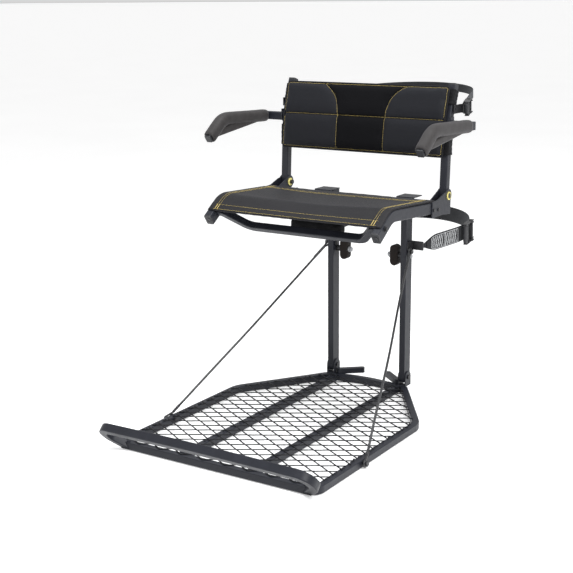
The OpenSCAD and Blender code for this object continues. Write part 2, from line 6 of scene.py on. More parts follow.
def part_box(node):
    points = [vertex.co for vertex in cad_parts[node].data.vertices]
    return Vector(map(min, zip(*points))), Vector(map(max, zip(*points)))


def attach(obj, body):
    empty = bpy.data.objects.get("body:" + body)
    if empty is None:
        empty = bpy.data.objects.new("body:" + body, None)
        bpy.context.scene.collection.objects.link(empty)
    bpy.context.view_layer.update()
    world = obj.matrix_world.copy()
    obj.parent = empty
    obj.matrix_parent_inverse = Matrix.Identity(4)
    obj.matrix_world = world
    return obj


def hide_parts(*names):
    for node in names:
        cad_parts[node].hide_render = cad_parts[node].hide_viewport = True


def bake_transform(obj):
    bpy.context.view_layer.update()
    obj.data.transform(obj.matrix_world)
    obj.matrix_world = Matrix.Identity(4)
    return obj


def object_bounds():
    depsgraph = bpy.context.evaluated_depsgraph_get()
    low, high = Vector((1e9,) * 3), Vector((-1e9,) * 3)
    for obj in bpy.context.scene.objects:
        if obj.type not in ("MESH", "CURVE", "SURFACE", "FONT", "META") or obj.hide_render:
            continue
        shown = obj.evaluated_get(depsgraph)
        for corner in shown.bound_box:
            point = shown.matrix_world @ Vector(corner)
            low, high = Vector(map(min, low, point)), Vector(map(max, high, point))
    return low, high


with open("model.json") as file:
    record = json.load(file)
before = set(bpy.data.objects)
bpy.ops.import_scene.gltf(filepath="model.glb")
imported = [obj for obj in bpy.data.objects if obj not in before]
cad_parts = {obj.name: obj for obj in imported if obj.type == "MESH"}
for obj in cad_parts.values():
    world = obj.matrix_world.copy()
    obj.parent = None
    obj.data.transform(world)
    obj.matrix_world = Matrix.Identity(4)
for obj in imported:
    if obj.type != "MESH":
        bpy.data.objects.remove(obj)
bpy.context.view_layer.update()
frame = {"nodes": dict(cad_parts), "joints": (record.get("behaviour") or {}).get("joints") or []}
N = frame["nodes"]
rnd = random.Random(7)
mm = 0.001


# ------------------------------------------------------------------ numbers
def bx(node):
    lo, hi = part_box(node)
    return np.array(lo) / mm, np.array(hi) / mm


JOINT = {j["name"]: j for j in frame["joints"]}
post_lo, post_hi = bx("post_right")
HX = (post_lo[0] + post_hi[0]) / 2
up_lo, up_hi = bx("upright_right")
SX = (up_lo[0] + up_hi[0]) / 2
RW = up_hi[0] - up_lo[0]
web_lo, web_hi = bx("upper_strap_web")
lweb_lo, lweb_hi = bx("lower_strap_web")


# ---------------------------------------------------------------- materials
class G:
    """small helper round a node tree"""

    def __init__(s, name):
        s.m = bpy.data.materials.new(name)
        s.m.use_nodes = True
        s.t = s.m.node_tree
        s.t.nodes.clear()
        s.out = s.t.nodes.new("ShaderNodeOutputMaterial")
        s.p = s.t.nodes.new("ShaderNodeBsdfPrincipled")
        s.t.links.new(s.p.outputs[0], s.out.inputs[0])

    def n(s, kind, **kw):
        nd = s.t.nodes.new(kind)
        for k, v in kw.items():
            if hasattr(nd, k):
                setattr(nd, k, v)
            else:
                nd.inputs[k.replace("_", " ")].default_value = v
        return nd

    def l(s, a, b):
        s.t.links.new(a, b)
        return b

    def obj(s):
        if not hasattr(s, "_o"):
            s._o = s.n("ShaderNodeTexCoord").outputs["Object"]
        return s._o

    def uv(s):
        if not hasattr(s, "_u"):
            s._u = s.n("ShaderNodeUVMap").outputs["UV"]
        return s._u

    def map(s, src, scale=(1, 1, 1), rot=(0, 0, 0), loc=(0, 0, 0)):
        m = s.n("ShaderNodeMapping")
        m.inputs["Scale"].default_value = scale
        m.inputs["Rotation"].default_value = rot
        m.inputs["Location"].default_value = loc
        s.l(src, m.inputs["Vector"])
        return m.outputs[0]

    def noise(s, src, scale, detail=3.0, rough=0.55, dist=0.0):
        t = s.n("ShaderNodeTexNoise")
        t.inputs["Scale"].default_value = scale
        t.inputs["Detail"].default_value = detail
        t.inputs["Roughness"].default_value = rough
        t.inputs["Distortion"].default_value = dist
        s.l(src, t.inputs["Vector"])
        return t.outputs["Fac"]

    def wave(s, src, scale, axis="X", profile="SIN", dist=0.0, dscale=1.0):
        t = s.n("ShaderNodeTexWave")
        t.wave_type = "BANDS"
        t.bands_direction = axis
        t.wave_profile = profile
        t.inputs["Scale"].default_value = scale
        t.inputs["Distortion"].default_value = dist
        t.inputs["Detail Scale"].default_value = dscale
        s.l(src, t.inputs["Vector"])
        return t.outputs["Fac"]

    def math(s, op, a, b=None, clamp=False):
        m = s.n("ShaderNodeMath")
        m.operation = op
        m.use_clamp = clamp
        for i, v in enumerate((a, b)):
            if v is None:
                continue
            if isinstance(v, (int, float)):
                m.inputs[i].default_value = v
            else:
                s.l(v, m.inputs[i])
        return m.outputs[0]

    def ramp(s, src, stops):
        r = s.n("ShaderNodeValToRGB")
        e = r.color_ramp.elements
        while len(e) < len(stops):
            e.new(0.5)
        for i, (pos, c) in enumerate(stops):
            e[i].position = pos
            e[i].color = (*c, 1) if len(c) == 3 else c
        s.l(src, r.inputs[0])
        return r.outputs[0]

    def rng(s, src, a, b, c, d):
        m = s.n("ShaderNodeMapRange")
        for i, v in enumerate((a, b, c, d)):
            m.inputs[i + 1].default_value = v
        s.l(src, m.inputs[0])
        return m.outputs[0]

    def mix(s, fac, a, b):
        m = s.n("ShaderNodeMix")
        m.data_type = "RGBA"
        for i, v in ((0, fac), (6, a), (7, b)):
            if isinstance(v, (int, float)):
                m.inputs[i].default_value = v
            elif isinstance(v, tuple):
                m.inputs[i].default_value = (*v, 1) if len(v) == 3 else v
            else:
                s.l(v, m.inputs[i])
        return m.outputs[2]

    def bump(s, h, strength=0.3, dist=0.0005, normal=None):
        b = s.n("ShaderNodeBump")
        b.inputs["Strength"].default_value = strength
        b.inputs["Distance"].default_value = dist
        s.l(h, b.inputs["Height"])
        if normal is not None:
            s.l(normal, b.inputs["Normal"])
        return b.outputs[0]

    def edge(s, radius=0.0012, lo=0.02, hi=0.25):
        """1 on sharp convex or concave edges"""
        b = s.n("ShaderNodeBevel")
        b.samples = 4
        b.inputs["Radius"].default_value = radius
        g = s.n("ShaderNodeNewGeometry")
        d = s.n("ShaderNodeVectorMath")
        d.operation = "DOT_PRODUCT"
        s.l(b.outputs[0], d.inputs[0])
        s.l(g.outputs["Normal"], d.inputs[1])
        v = s.math("SUBTRACT", 1.0, d.outputs["Value"])
        return s.rng(v, lo, hi, 0, 1), b.outputs[0]

    def set(s, **kw):
        for k, v in kw.items():
            i = s.p.inputs[k.replace("_", " ")]
            if isinstance(v, (int, float)):
                i.default_value = v
            elif isinstance(v, tuple):
                i.default_value = (*v, 1) if len(v) == 3 and i.type == "RGBA" else v
            else:
                s.l(v, i)
        return s


def tone(c, k):
    return tuple(min(1, x * k) for x in c)


def powder(name, base, rough=0.40, peel=0.10, bevel=True, spec=0.23):
    g = G(name)
    o = g.obj()
    big = g.noise(o, 9, 4, 0.6)
    mid = g.noise(o, 70, 4, 0.7)
    fine = g.noise(o, 900, 2, 0.6)
    speck = g.noise(o, 2300, 1, 0.5)
    c = g.mix(g.rng(big, 0.3, 0.7, 0, 1), tone(base, 0.86), tone(base, 1.16))
    c = g.mix(g.rng(mid, 0.55, 0.8, 0, 0.35), c, tone(base, 1.5))
    c = g.mix(g.rng(speck, 0.62, 0.75, 0, 0.25), c, tone(base, 2.0))
    n = None
    if bevel:
        # painted highlight: sharp edges are made lighter, broken up by noise, in place of the light that rounded edges
        # catch
        e, n = g.edge(0.0011, 0.03, 0.30)
        painted_edge_highlight = g.math("MULTIPLY", e, g.rng(mid, 0.35, 0.65, 0.15, 1.0), True)
        c = g.mix(g.math("MULTIPLY", painted_edge_highlight, 0.5), c, tone(base, 2.6))
    # painted highlight: faces that look up are made lighter in patches, and the same mask makes them rougher
    geo = g.n("ShaderNodeNewGeometry")
    sep = g.n("ShaderNodeSeparateXYZ")
    g.l(geo.outputs["Normal"], sep.inputs[0])
    top_highlight = g.math("MULTIPLY", g.rng(sep.outputs[2], 0.5, 1.0, 0, 1), g.rng(g.noise(o, 26, 5, 0.7), 0.35, 0.75, 0.0, 0.22))
    c = g.mix(top_highlight, c, tone(base, 3.4))
    g.set(Base_Color=c, Metallic=0.0, Roughness=g.rng(g.math("ADD", mid, g.math("MULTIPLY", top_highlight, 1.2)), 0.3, 1.0, rough - 0.06, rough + 0.16))
    g.p.inputs["Specular IOR Level"].default_value = spec
    g.p.inputs["Coat Weight"].default_value = 0.06
    g.p.inputs["Coat Roughness"].default_value = 0.28
    g.set(Normal=g.bump(fine, peel, 0.0006, n))
    return g.m


def metal(name, base, rough=0.32, scratch=0.25, metallic=1.0):
    g = G(name)
    o = g.obj()
    a = g.noise(g.map(o, (40, 40, 1200)), 1.0, 3, 0.6)
    b = g.noise(o, 140, 4, 0.7)
    c = g.mix(g.rng(b, 0.3, 0.75, 0, 1), tone(base, 0.72), tone(base, 1.12))
    e, n = g.edge(0.0006, 0.03, 0.3)
    # painted highlight: edges are made lighter in place of the light that rounded edges catch
    c = g.mix(g.math("MULTIPLY", e, 0.35), c, tone(base, 1.35))
    g.set(Base_Color=c, Metallic=metallic, Roughness=g.rng(b, 0.3, 0.7, rough - 0.08, rough + 0.16))
    g.set(Normal=g.bump(a, scratch * 0.3, 0.0002, n))
    return g.m


def plastic(name, base, rough=0.5, grain=0.25, spec=0.4):
    g = G(name)
    o = g.obj()
    a = g.noise(o, 1500, 2, 0.6)
    b = g.noise(o, 60, 3, 0.6)
    e, n = g.edge(0.0010, 0.03, 0.35)
    c = g.mix(g.rng(b, 0.3, 0.7, 0, 1), tone(base, 0.85), tone(base, 1.25))
    # painted highlight: edges are made lighter in place of the light that rounded edges catch
    c = g.mix(g.math("MULTIPLY", e, 0.3), c, tone(base, 2.4))
    g.set(Base_Color=c, Roughness=g.rng(b, 0.3, 0.7, rough - 0.07, rough + 0.1), Normal=g.bump(a, grain, 0.0002, n))
    g.p.inputs["Specular IOR Level"].default_value = spec
    return g.m


def foam(name, base):
    g = G(name)
    o = g.obj()
    pores = g.n("ShaderNodeTexVoronoi")
    pores.inputs["Scale"].default_value = 900
    g.l(o, pores.inputs["Vector"])
    v = pores.outputs["Distance"]
    b = g.noise(o, 45, 4, 0.65)
    d = g.noise(o, 8, 3, 0.6)
    c = g.mix(g.rng(b, 0.3, 0.7, 0, 1), tone(base, 0.82), tone(base, 1.18))
    # painted shade: the pores are darkened
    c = g.mix(g.rng(v, 0.0, 0.35, 0.45, 0.0), c, tone(base, 0.45))
    c = g.mix(g.rng(d, 0.5, 0.75, 0, 0.35), c, tone(base, 1.45))
    h = g.math("ADD", g.math("MULTIPLY", v, 0.5), g.math("MULTIPLY", b, 1.2))
    g.set(Base_Color=c, Roughness=g.rng(d, 0.3, 0.7, 0.56, 0.74), Normal=g.bump(h, 0.35, 0.0005))
    g.p.inputs["Specular IOR Level"].default_value = 0.25
    g.p.inputs["Sheen Weight"].default_value = 0.08
    g.p.inputs["Sheen Roughness"].default_value = 0.5
    g.p.inputs["Sheen Tint"].default_value = (0.8, 0.8, 0.85, 1)
    return g.m


def weave(name, base, pitch=1.1, bumpy=0.5, rough=0.62, sheen=0.3, gloss=0.0, axes=("X", "Z"), rot=(0, 0, 0), streak=0.25, light=1.9):
    """plain weave in object space: threads cross along two axes"""
    g = G(name)
    o = g.obj()
    s = 1000.0 / pitch / 2.0 / 3.14159
    m = g.map(o, (1, 1, 1), rot)
    wa = g.wave(m, s * 3.14159 / 3.14159, axes[0], "SIN", 0.6, 2)
    wb = g.wave(m, s * 3.14159 / 3.14159, axes[1], "SIN", 0.6, 2)
    h = g.math("MULTIPLY", wa, wb)
    h2 = g.math("MAXIMUM", g.math("MULTIPLY", wa, g.math("SUBTRACT", 1.0, wb)), g.math("MULTIPLY", wb, g.math("SUBTRACT", 1.0, wa)))
    hh = g.math("ADD", h, h2)
    cl = g.noise(o, 7, 4, 0.6)
    sl = g.noise(g.map(o, (3, 60, 420)), 1.0, 3, 0.6)
    fz = g.noise(o, 420, 3, 0.7)
    # painted shade in the hollows between threads and painted highlight on their crowns; light sets how light the
    # crowns are painted
    c = g.mix(g.rng(hh, 0.15, 0.9, 0, 1), tone(base, 0.45), tone(base, light))
    c = g.mix(g.rng(cl, 0.35, 0.7, 0, 0.35), c, tone(base, 1.7))
    c = g.mix(g.rng(sl, 0.5, 0.8, 0, streak), c, tone(base, 2.3))
    g.set(Base_Color=c, Roughness=g.rng(fz, 0.3, 0.7, rough - 0.08, rough + 0.1))
    g.set(Normal=g.bump(g.math("ADD", hh, g.math("MULTIPLY", fz, 0.35)), bumpy, 0.0004))
    g.p.inputs["Sheen Weight"].default_value = sheen
    g.p.inputs["Sheen Roughness"].default_value = 0.45
    g.p.inputs["Sheen Tint"].default_value = (0.75, 0.78, 0.9, 1)
    g.p.inputs["Specular IOR Level"].default_value = 0.10 + gloss
    return g.m


def webbing(name, base, rib=1.9):
    """ribbed strap: u runs along the strap and v across it, both in metres"""
    g = G(name)
    u = g.uv()
    k = 1000.0 / rib / 6.283
    wy = g.wave(u, k * 3.14159 / 3.14159, "Y", "SIN")
    tw = g.n("ShaderNodeTexWave")
    tw.wave_type = "BANDS"
    tw.bands_direction = "DIAGONAL"
    tw.inputs["Scale"].default_value = k * 1.7
    g.l(g.map(u, (1, 1, 0)), tw.inputs["Vector"])
    h = g.math("ADD", g.math("MULTIPLY", wy, 0.7), g.math("MULTIPLY", tw.outputs["Fac"], 0.5))
    o = g.obj()
    cl = g.noise(o, 30, 4, 0.65)
    fz = g.noise(o, 900, 2, 0.6)
    # painted shade in the hollows between ribs and painted highlight on their crowns
    c = g.mix(g.rng(h, 0.1, 1.1, 0, 1), tone(base, 0.4), tone(base, 2.0))
    c = g.mix(g.rng(cl, 0.4, 0.75, 0, 0.3), c, tone(base, 1.9))
    g.set(Base_Color=c, Roughness=0.66, Normal=g.bump(g.math("ADD", h, g.math("MULTIPLY", fz, 0.25)), 0.6, 0.0004))
    g.p.inputs["Specular IOR Level"].default_value = 0.2
    g.p.inputs["Sheen Weight"].default_value = 0.08
    g.p.inputs["Sheen Tint"].default_value = (0.8, 0.85, 0.9, 1)
    return g.m


def thread(name, base):
    g = G(name)
    o = g.obj()
    w = g.wave(g.map(o, (1, 1, 1), (0.3, 0.5, 0.6)), 700, "DIAGONAL")
    b = g.noise(o, 160, 3, 0.6)
    c = g.mix(g.rng(b, 0.3, 0.7, 0, 1), tone(base, 0.75), tone(base, 1.2))
    # painted shade in the grooves of the twist
    c = g.mix(g.math("MULTIPLY", w, 0.35), c, tone(base, 0.6))
    g.set(Base_Color=c, Roughness=0.55, Normal=g.bump(w, 0.4, 0.0002))
    g.p.inputs["Sheen Weight"].default_value = 0.3
    return g.m


def floor_mat():
    g = G("floor")
    n = g.noise(g.obj(), 1.2, 3, 0.5)
    g.set(Base_Color=g.mix(g.rng(n, 0.3, 0.7, 0, 1), (0.86, 0.86, 0.86), (0.90, 0.90, 0.90)), Roughness=0.8)
    g.p.inputs["Specular IOR Level"].default_value = 0.1
    g.p.inputs["Emission Color"].default_value = (1, 1, 1, 1)
    g.p.inputs["Emission Strength"].default_value = 0.36
    return g.m


STEEL = (0.0145, 0.0157, 0.0212)
M = {
    "steel": powder("powder_coat_charcoal", STEEL),
    # painted shade: the deck's coat is the frame's coat darkened to 0.3 for the shade between and under the strands
    "deck": powder("powder_coat_deck", tone(STEEL, 0.30), 0.45, 0.12, bevel=False, spec=0.2),
    "weld": powder("powder_coat_weld", tone(STEEL, 0.9), 0.42, 0.3, bevel=False),
    "hw": metal("black_oxide", (0.035, 0.035, 0.038), 0.36, 0.25, 0.55),
    "zinc": metal("zinc_plate", (0.60, 0.61, 0.63), 0.30),
    "dullzinc": metal("zinc_dull", (0.36, 0.365, 0.38), 0.40),
    "cap": plastic("cap_plastic", (0.018, 0.0185, 0.021), 0.42, 0.2),
    "nylon": plastic("bushing_nylon", (0.68, 0.60, 0.20), 0.42, 0.15),
    "rubber": plastic("paddle_rubber", (0.0120, 0.0092, 0.0080), 0.66, 0.5, 0.15),
    "foam": foam("grip_foam", (0.0300, 0.0275, 0.0272)),
    "pad": weave("pad_fabric", (0.0072, 0.0075, 0.0092), 1.3, 0.5, 0.60, 0.06),
    "padmid": weave("pad_centre_fabric", (0.0026, 0.0026, 0.0031), 0.9, 0.35, 0.70, 0.02, -0.04, streak=0.1),
    "padback": weave("pad_back_fabric", (0.008, 0.008, 0.009), 1.6, 0.6, 0.72, 0.06),
    "bind": weave("binding_fabric", (0.006, 0.006, 0.0066), 1.0, 0.6, 0.7, 0.05),
    "sling": weave("sling_fabric", (0.0140, 0.0136, 0.0148), 1.7, 0.45, 0.56, 0.02, 0.03, ("X", "Y"), streak=0.12, light=1.5),
    "web": webbing("webbing_black", (0.0085, 0.0088, 0.0100)),
    "hollow": plastic("grip_hollow", (0.004, 0.004, 0.0042), 0.8, 0.2, 0.05),
    "gold": thread("thread_gold", (0.60, 0.45, 0.11)),
    "white": thread("thread_grey", (0.55, 0.56, 0.57)),
    "black": thread("thread_black", (0.02, 0.02, 0.021)),
    "vinyl": plastic("cable_vinyl", (0.020, 0.020, 0.022), 0.35, 0.1, 0.5),
    "floor": floor_mat(),
}


# ------------------------------------------------------------- mesh helpers
def obj_from(name, verts, faces, mat, smooth=True, uvs=None):
    me = bpy.data.meshes.new(name)
    me.from_pydata([tuple(float(c) * mm for c in v) for v in verts], [], faces)
    if uvs is not None:
        uvl = me.uv_layers.new(name="UVMap")
        for poly in me.polygons:
            for li, vi in zip(poly.loop_indices, poly.vertices):
                uvl.data[li].uv = uvs[vi]
    me.update()
    ob = bpy.data.objects.new(name, me)
    bpy.context.scene.collection.objects.link(ob)
    me.materials.append(M[mat])
    if smooth:
        for p in me.polygons:
            p.use_smooth = True
    return ob


def recalc(ob):
    bm = bmesh.new()
    bm.from_mesh(ob.data)
    bmesh.ops.recalc_face_normals(bm, faces=bm.faces)
    bm.to_mesh(ob.data)
    bm.free()
    return ob


def join(name, obs):
    ob = obs[0]
    if len(obs) > 1:
        with bpy.context.temp_override(active_object=ob, selected_editable_objects=obs, selected_objects=obs):
            bpy.ops.object.join()
    ob.name = name
    ob.data.name = name
    return ob


def bevel(ob, w, seg=2, angle=35):
    b = ob.modifiers.new("bevel", "BEVEL")
    b.width = w * mm
    b.segments = seg
    b.limit_method = "ANGLE"
    b.angle_limit = math.radians(angle)
    b.harden_normals = False
    return ob


def apply_all(ob):
    dg = bpy.context.evaluated_depsgraph_get()
    me = bpy.data.meshes.new_from_object(ob.evaluated_get(dg))
    ob.modifiers.clear()
    ob.data = me
    return ob


def unit(v):
    v = np.array(v, float)
    return v / max(1e-9, np.linalg.norm(v))


def frames(path, up):
    """tangent, side and normal along a polyline; up is a fixed reference"""
    P = np.array(path, float)
    n = len(P)
    out = []
    u = unit(up)
    for i in range(n):
        a = P[max(0, i - 1)]
        b = P[min(n - 1, i + 1)]
        t = unit(b - a)
        s = np.cross(t, u)
        if np.linalg.norm(s) < 1e-4:
            s = np.cross(t, np.array([0.01, 1, 0.02]))
        s = unit(s)
        nn = unit(np.cross(s, t))
        out.append((P[i], t, s, nn))
    return out


def sweep(name, path, section, mat, up=(0, 0, 1), scale=None, caps=True, closed=False, smooth=True):
    """section: list of (side, normal) in mm; scale: per-point factor"""
    fr = frames(path, up)
    k = len(section)
    verts, faces, uvs = [], [], []
    acc = 0.0
    per = [0.0]
    for a, b in zip(section, section[1:] + section[:1]):
        per.append(per[-1] + math.dist(a, b))
    for i, (p, t, s, n) in enumerate(fr):
        if i:
            acc += np.linalg.norm(fr[i][0] - fr[i - 1][0])
        f = 1 if scale is None else scale[i]
        for j, (a, b) in enumerate(section):
            verts.append(p + s * a * f + n * b * f)
            uvs.append((acc * mm, per[j] * mm))
    m = len(fr)
    rings = m if closed else m - 1
    for i in range(rings):
        for j in range(k):
            a = i * k + j
            b = i * k + (j + 1) % k
            c = ((i + 1) % m) * k + (j + 1) % k
            d = ((i + 1) % m) * k + j
            faces.append((a, b, c, d))
    if caps and not closed:
        faces.append(tuple(range(k))[::-1])
        faces.append(tuple((m - 1) * k + j for j in range(k)))
    return recalc(obj_from(name, verts, faces, mat, smooth, uvs))


def circle_sec(r, k=10, ry=None):
    return [(r * math.cos(2 * math.pi * i / k), (ry or r) * math.sin(2 * math.pi * i / k)) for i in range(k)]


def rrect_sec(w, h, r, k=4):
    pts = []
    for cx, cy, a0 in ((w / 2 - r, h / 2 - r, 0), (-w / 2 + r, h / 2 - r, 90), (-w / 2 + r, -h / 2 + r, 180), (w / 2 - r, -h / 2 + r, 270)):
        for i in range(k + 1):
            a = math.radians(a0 + 90 * i / k)
            pts.append((cx + r * math.cos(a), cy + r * math.sin(a)))
    return pts


def bent_path(pts, rs, step=4.0):
    """polyline with round corners, sampled"""
    P = [np.array(p, float) for p in pts]
    out = [P[0]]
    for i in range(1, len(P) - 1):
        a, b, c = P[i - 1], P[i], P[i + 1]
        u, v = unit(a - b), unit(c - b)
        ang = math.acos(max(-1, min(1, float(u @ v))))
        r = rs[i - 1]
        tl = r / math.tan(ang / 2)
        bis = unit(u + v)
        cc = b + bis * (r / math.sin(ang / 2))
        p0, p1 = b + u * tl, b + v * tl
        k = max(3, int(abs(math.pi - ang) * r / step))
        e0, e1 = p0 - cc, p1 - cc
        tot = math.acos(max(-1, min(1, float(unit(e0) @ unit(e1)))))
        for q in range(k + 1):
            f = q / k
            w0 = math.sin((1 - f) * tot) / math.sin(tot)
            w1 = math.sin(f * tot) / math.sin(tot)
            out.append(cc + e0 * w0 + e1 * w1)
    out.append(P[-1])
    return out


def resample(path, step):
    P = np.array(path, float)
    d = np.r_[0, np.cumsum(np.linalg.norm(np.diff(P, axis=0), axis=1))]
    n = max(2, int(round(d[-1] / step)) + 1)
    s = np.linspace(0, d[-1], n)
    return np.stack([np.interp(s, d, P[:, i]) for i in range(3)], 1)


def stitches(name, path, normal_fn, mat="gold", pitch=4.2, length=3.1, r=0.42, lift=0.15, k=6):
    """a row of raised thread lengths along a path lying on cloth"""
    P = resample(path, 1.0)
    d = np.r_[0, np.cumsum(np.linalg.norm(np.diff(P, axis=0), axis=1))]
    verts, faces = [], []
    s = pitch * 0.5
    while s + length < d[-1]:
        ring_pts = []
        for q in range(5):
            f = q / 4
            ss = s + length * f
            p = np.array([np.interp(ss, d, P[:, i]) for i in range(3)])
            p2 = np.array([np.interp(ss + 0.5, d, P[:, i]) for i in range(3)])
            t = unit(p2 - p) if np.linalg.norm(p2 - p) > 1e-6 else unit(P[-1] - P[-2])
            n = unit(normal_fn(p))
            sd = unit(np.cross(t, n))
            h = lift + 0.42 * math.sin(math.pi * f) - 0.35 * (1 - math.sin(math.pi * f))
            rr = r * (0.55 + 0.45 * math.sin(math.pi * f))
            ring_pts.append((p + n * h, sd, n, rr))
        base = len(verts)
        for (c, sd, n, rr) in ring_pts:
            for j in range(k):
                a = 2 * math.pi * j / k
                verts.append(c + sd * rr * math.cos(a) + n * rr * math.sin(a))
        for q in range(4):
            for j in range(k):
                faces.append((base + q * k + j, base + q * k + (j + 1) % k, base + (q + 1) * k + (j + 1) % k, base + (q + 1) * k + j))
        faces.append(tuple(base + j for j in range(k))[::-1])
        faces.append(tuple(base + 4 * k + j for j in range(k)))
        s += pitch
    return recalc(obj_from(name, verts, faces, mat))


def ride(ob, body):
    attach(ob, body)
    return ob


def mirror(ob, name):
    me = ob.data.copy()
    bm = bmesh.new()
    bm.from_mesh(me)
    for v in bm.verts:
        v.co.x = -v.co.x
    bmesh.ops.reverse_faces(bm, faces=bm.faces)
    bm.to_mesh(me)
    bm.free()
    o = bpy.data.objects.new(name, me)
    me.name = name
    bpy.context.scene.collection.objects.link(o)
    return o


# -------------------------------------------------- carried-over CAD nodes
CADMAT = {
    "hw": ["rail_bolts", "ratchet_pins", "lower_ratchet_handle", "upper_ratchet_handle", "platform_hinge_bolts", "cable_anchor_bolts", "paddle_spacers", "post_anchor_bolts", "seat_pivot_bolts", "bracket_rivets", "arm_bolt_left", "arm_bolt_right", "strap_hooks", "lower_ratchet_frame", "upper_ratchet_frame"],
    "zinc": [],
    "dullzinc": ["paddle_bolts"],
    "cap": ["upright_caps", "seat_rail_caps", "arm_cap_left", "arm_cap_right"],
    "nylon": ["pivot_bushings"],
    "rubber": ["tree_paddle_left", "tree_paddle_right"],
    "vinyl": ["cable_left", "cable_right", "cable_ferrules"],
}
cadmat = {n: m for m, ns in CADMAT.items() for n in ns}
for n, o in N.items():
    m = M[cadmat.get(n, "steel")]
    o.data.materials.clear()
    o.data.materials.append(m)
    for p in o.data.polygons:
        p.material_index = 0

# ------------------------------------------------------------ mesh platform
PF = bx("platform_frame")
MB = bx("platform_mesh")
px = MB[1][0] - 3.0
y_front = MB[0][1]


def deck():
    ml, ms = 69.0, 40.4
    w = 3.5
    verts, faces = [], []
    sec = rrect_sec(w, 1.9, 0.5, 1)
    k = len(sec)

    def lim(y):
        if y < -262:
            return px - 1
        if y < -9:
            return px - 1 - (y + 262) * (px - 132) / 253
        return 101.0

    rows = int((6 - y_front) / (ms / 2))
    flat = 1.3
    for j in range(rows):
        ya = y_front + j * ms / 2 + w * 0.32
        yb = y_front + (j + 1) * ms / 2 - w * 0.32
        ym = (ya + yb) / 2
        L = lim(yb)
        # bond points of row j and of row j+1 along this strand
        pts = []
        i = -12
        while i <= 12:
            xa = (i + 0.5 + (j % 2) / 2) * ml
            xb = xa + ml / 2
            pts += [(xa - flat, ya, 0), (xa + flat, ya, 0), (xb - flat, yb, 1), (xb + flat, yb, 1)]
            i += 1
        x0, x1 = -L + rnd.uniform(-3, 5), L + rnd.uniform(-5, 3)
        P = []
        for (a, b) in zip(pts, pts[1:]):
            if b[0] < x0 or a[0] > x1:
                continue
            f0 = max(0, (x0 - a[0]) / (b[0] - a[0]))
            f1 = min(1, (x1 - a[0]) / (b[0] - a[0]))
            if not P:
                P.append([a[c] + (b[c] - a[c]) * f0 for c in range(3)])
            if b[0] - a[0] > 2 * flat + 1 and f1 == 1 and f0 == 0:
                for q in (0.12, 0.5, 0.88):
                    P.append([a[c] + (b[c] - a[c]) * q for c in range(3)])
            P.append([a[c] + (b[c] - a[c]) * f1 for c in range(3)])
        base = len(verts)
        cnt = 0
        for q, (x, y, h) in enumerate(P):
            a = P[max(0, q - 1)]
            b = P[min(len(P) - 1, q + 1)]
            t = unit([b[0] - a[0], b[1] - a[1], 0])
            s = np.array([-t[1], t[0], 0])
            roll = math.radians(20)
            z = 1.2 + 0.9 * h
            for (u, v) in sec:
                uu = u * math.cos(roll) - v * math.sin(roll)
                vv = u * math.sin(roll) + v * math.cos(roll)
                verts.append((x + s[0] * uu, y + s[1] * uu, z + vv))
            cnt += 1
        for q in range(cnt - 1):
            for e in range(k):
                faces.append((base + q * k + e, base + q * k + (e + 1) % k, base + (q + 1) * k + (e + 1) % k, base + (q + 1) * k + e))
        faces.append(tuple(base + e for e in range(k))[::-1])
        faces.append(tuple(base + (cnt - 1) * k + e for e in range(k)))
    ob = recalc(obj_from("expanded_metal_deck", verts, faces, "deck"))
    ride(ob, "platform")
    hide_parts("platform_mesh")
    # plug welds that fix the strands to the tubes
    vs, fs = [], []

    def blob(x, y, z, r, h):
        b = len(vs)
        rings = [(1.0, 0.0), (0.85, 0.5), (0.5, 0.85)]
        for (rr, hh) in rings:
            for q in range(8):
                a = 2 * math.pi * q / 8
                vs.append((x + r * rr * math.cos(a), y + r * rr * math.sin(a) * 0.8, z + h * hh))
        vs.append((x, y, z + h))
        for q in range(2):
            for e in range(8):
                fs.append((b + q * 8 + e, b + q * 8 + (e + 1) % 8, b + (q + 1) * 8 + (e + 1) % 8, b + (q + 1) * 8 + e))
        for e in range(8):
            fs.append((b + 16 + e, b + 16 + (e + 1) % 8, b + 24))

    for j in range(1, rows, 2):
        y = y_front + j * ms / 2 + rnd.uniform(-2, 2)
        for s in (-1, 1):
            blob(s * (lim(y) - 4 + rnd.uniform(-2, 2)), y, 0.0, 4.2, 3.6)
            if j % 4 == 1 and y < -30:
                blob(s * (107 + rnd.uniform(-3, 3)), y + 9, 0.0, 3.8, 3.4)
    o2 = obj_from("deck_tack_welds", vs, fs, "weld")
    ride(o2, "platform")


deck()


# ------------------------------------------------------------- weld beads
def bead(points, r=2.6, pitch=2.6):
    P = resample(points, 0.65)
    sc = [1 + 0.16 * abs(math.sin(math.pi * i * 0.65 / pitch)) + rnd.uniform(-0.03, 0.03) for i in range(len(P))]
    sc[0] = sc[-1] = 0.45
    return P, sc, r


def beads(name, body, lines, r=2.6):
    obs = []
    for ln in lines:
        P, sc, rr = bead(ln, r)
        up = (0, 0, 1) if abs(unit(np.array(ln[-1]) - np.array(ln[0]))[2]) < 0.8 else (0, 1, 0)
        obs.append(sweep(name + "_p", P, circle_sec(rr, 8), "weld", up, sc))
    ob = join(name, obs)
    ride(ob, body)
    return ob


py = y_front + 4.0
lines = []
for s in (-1, 1):
    # inner bars to the front tube and to the rear tube
    lines.append([(s * (107 - 9), py + 10.3, -0.4), (s * (107 + 9), py + 10.3, -0.4)])
    lines.append([(s * (107 - 9), -1.2, -0.6), (s * (107 + 9), -0.6, -0.6)])
    # boot rail's ends on the front tube
    lines.append([(s * 269, py - 4.0, 0.6), (s * 293, py - 4.0, 0.6)])
    lines.append([(s * 270, py - 10.6, -16.0), (s * 294, py - 10.6, -16.0)])
    # clevis on the rear tube
    lines.append([(s * (HX - 14), 3.0, 0.8), (s * (HX + 13), 3.0, 0.8)])
beads("weld_beads_platform", "platform", lines)


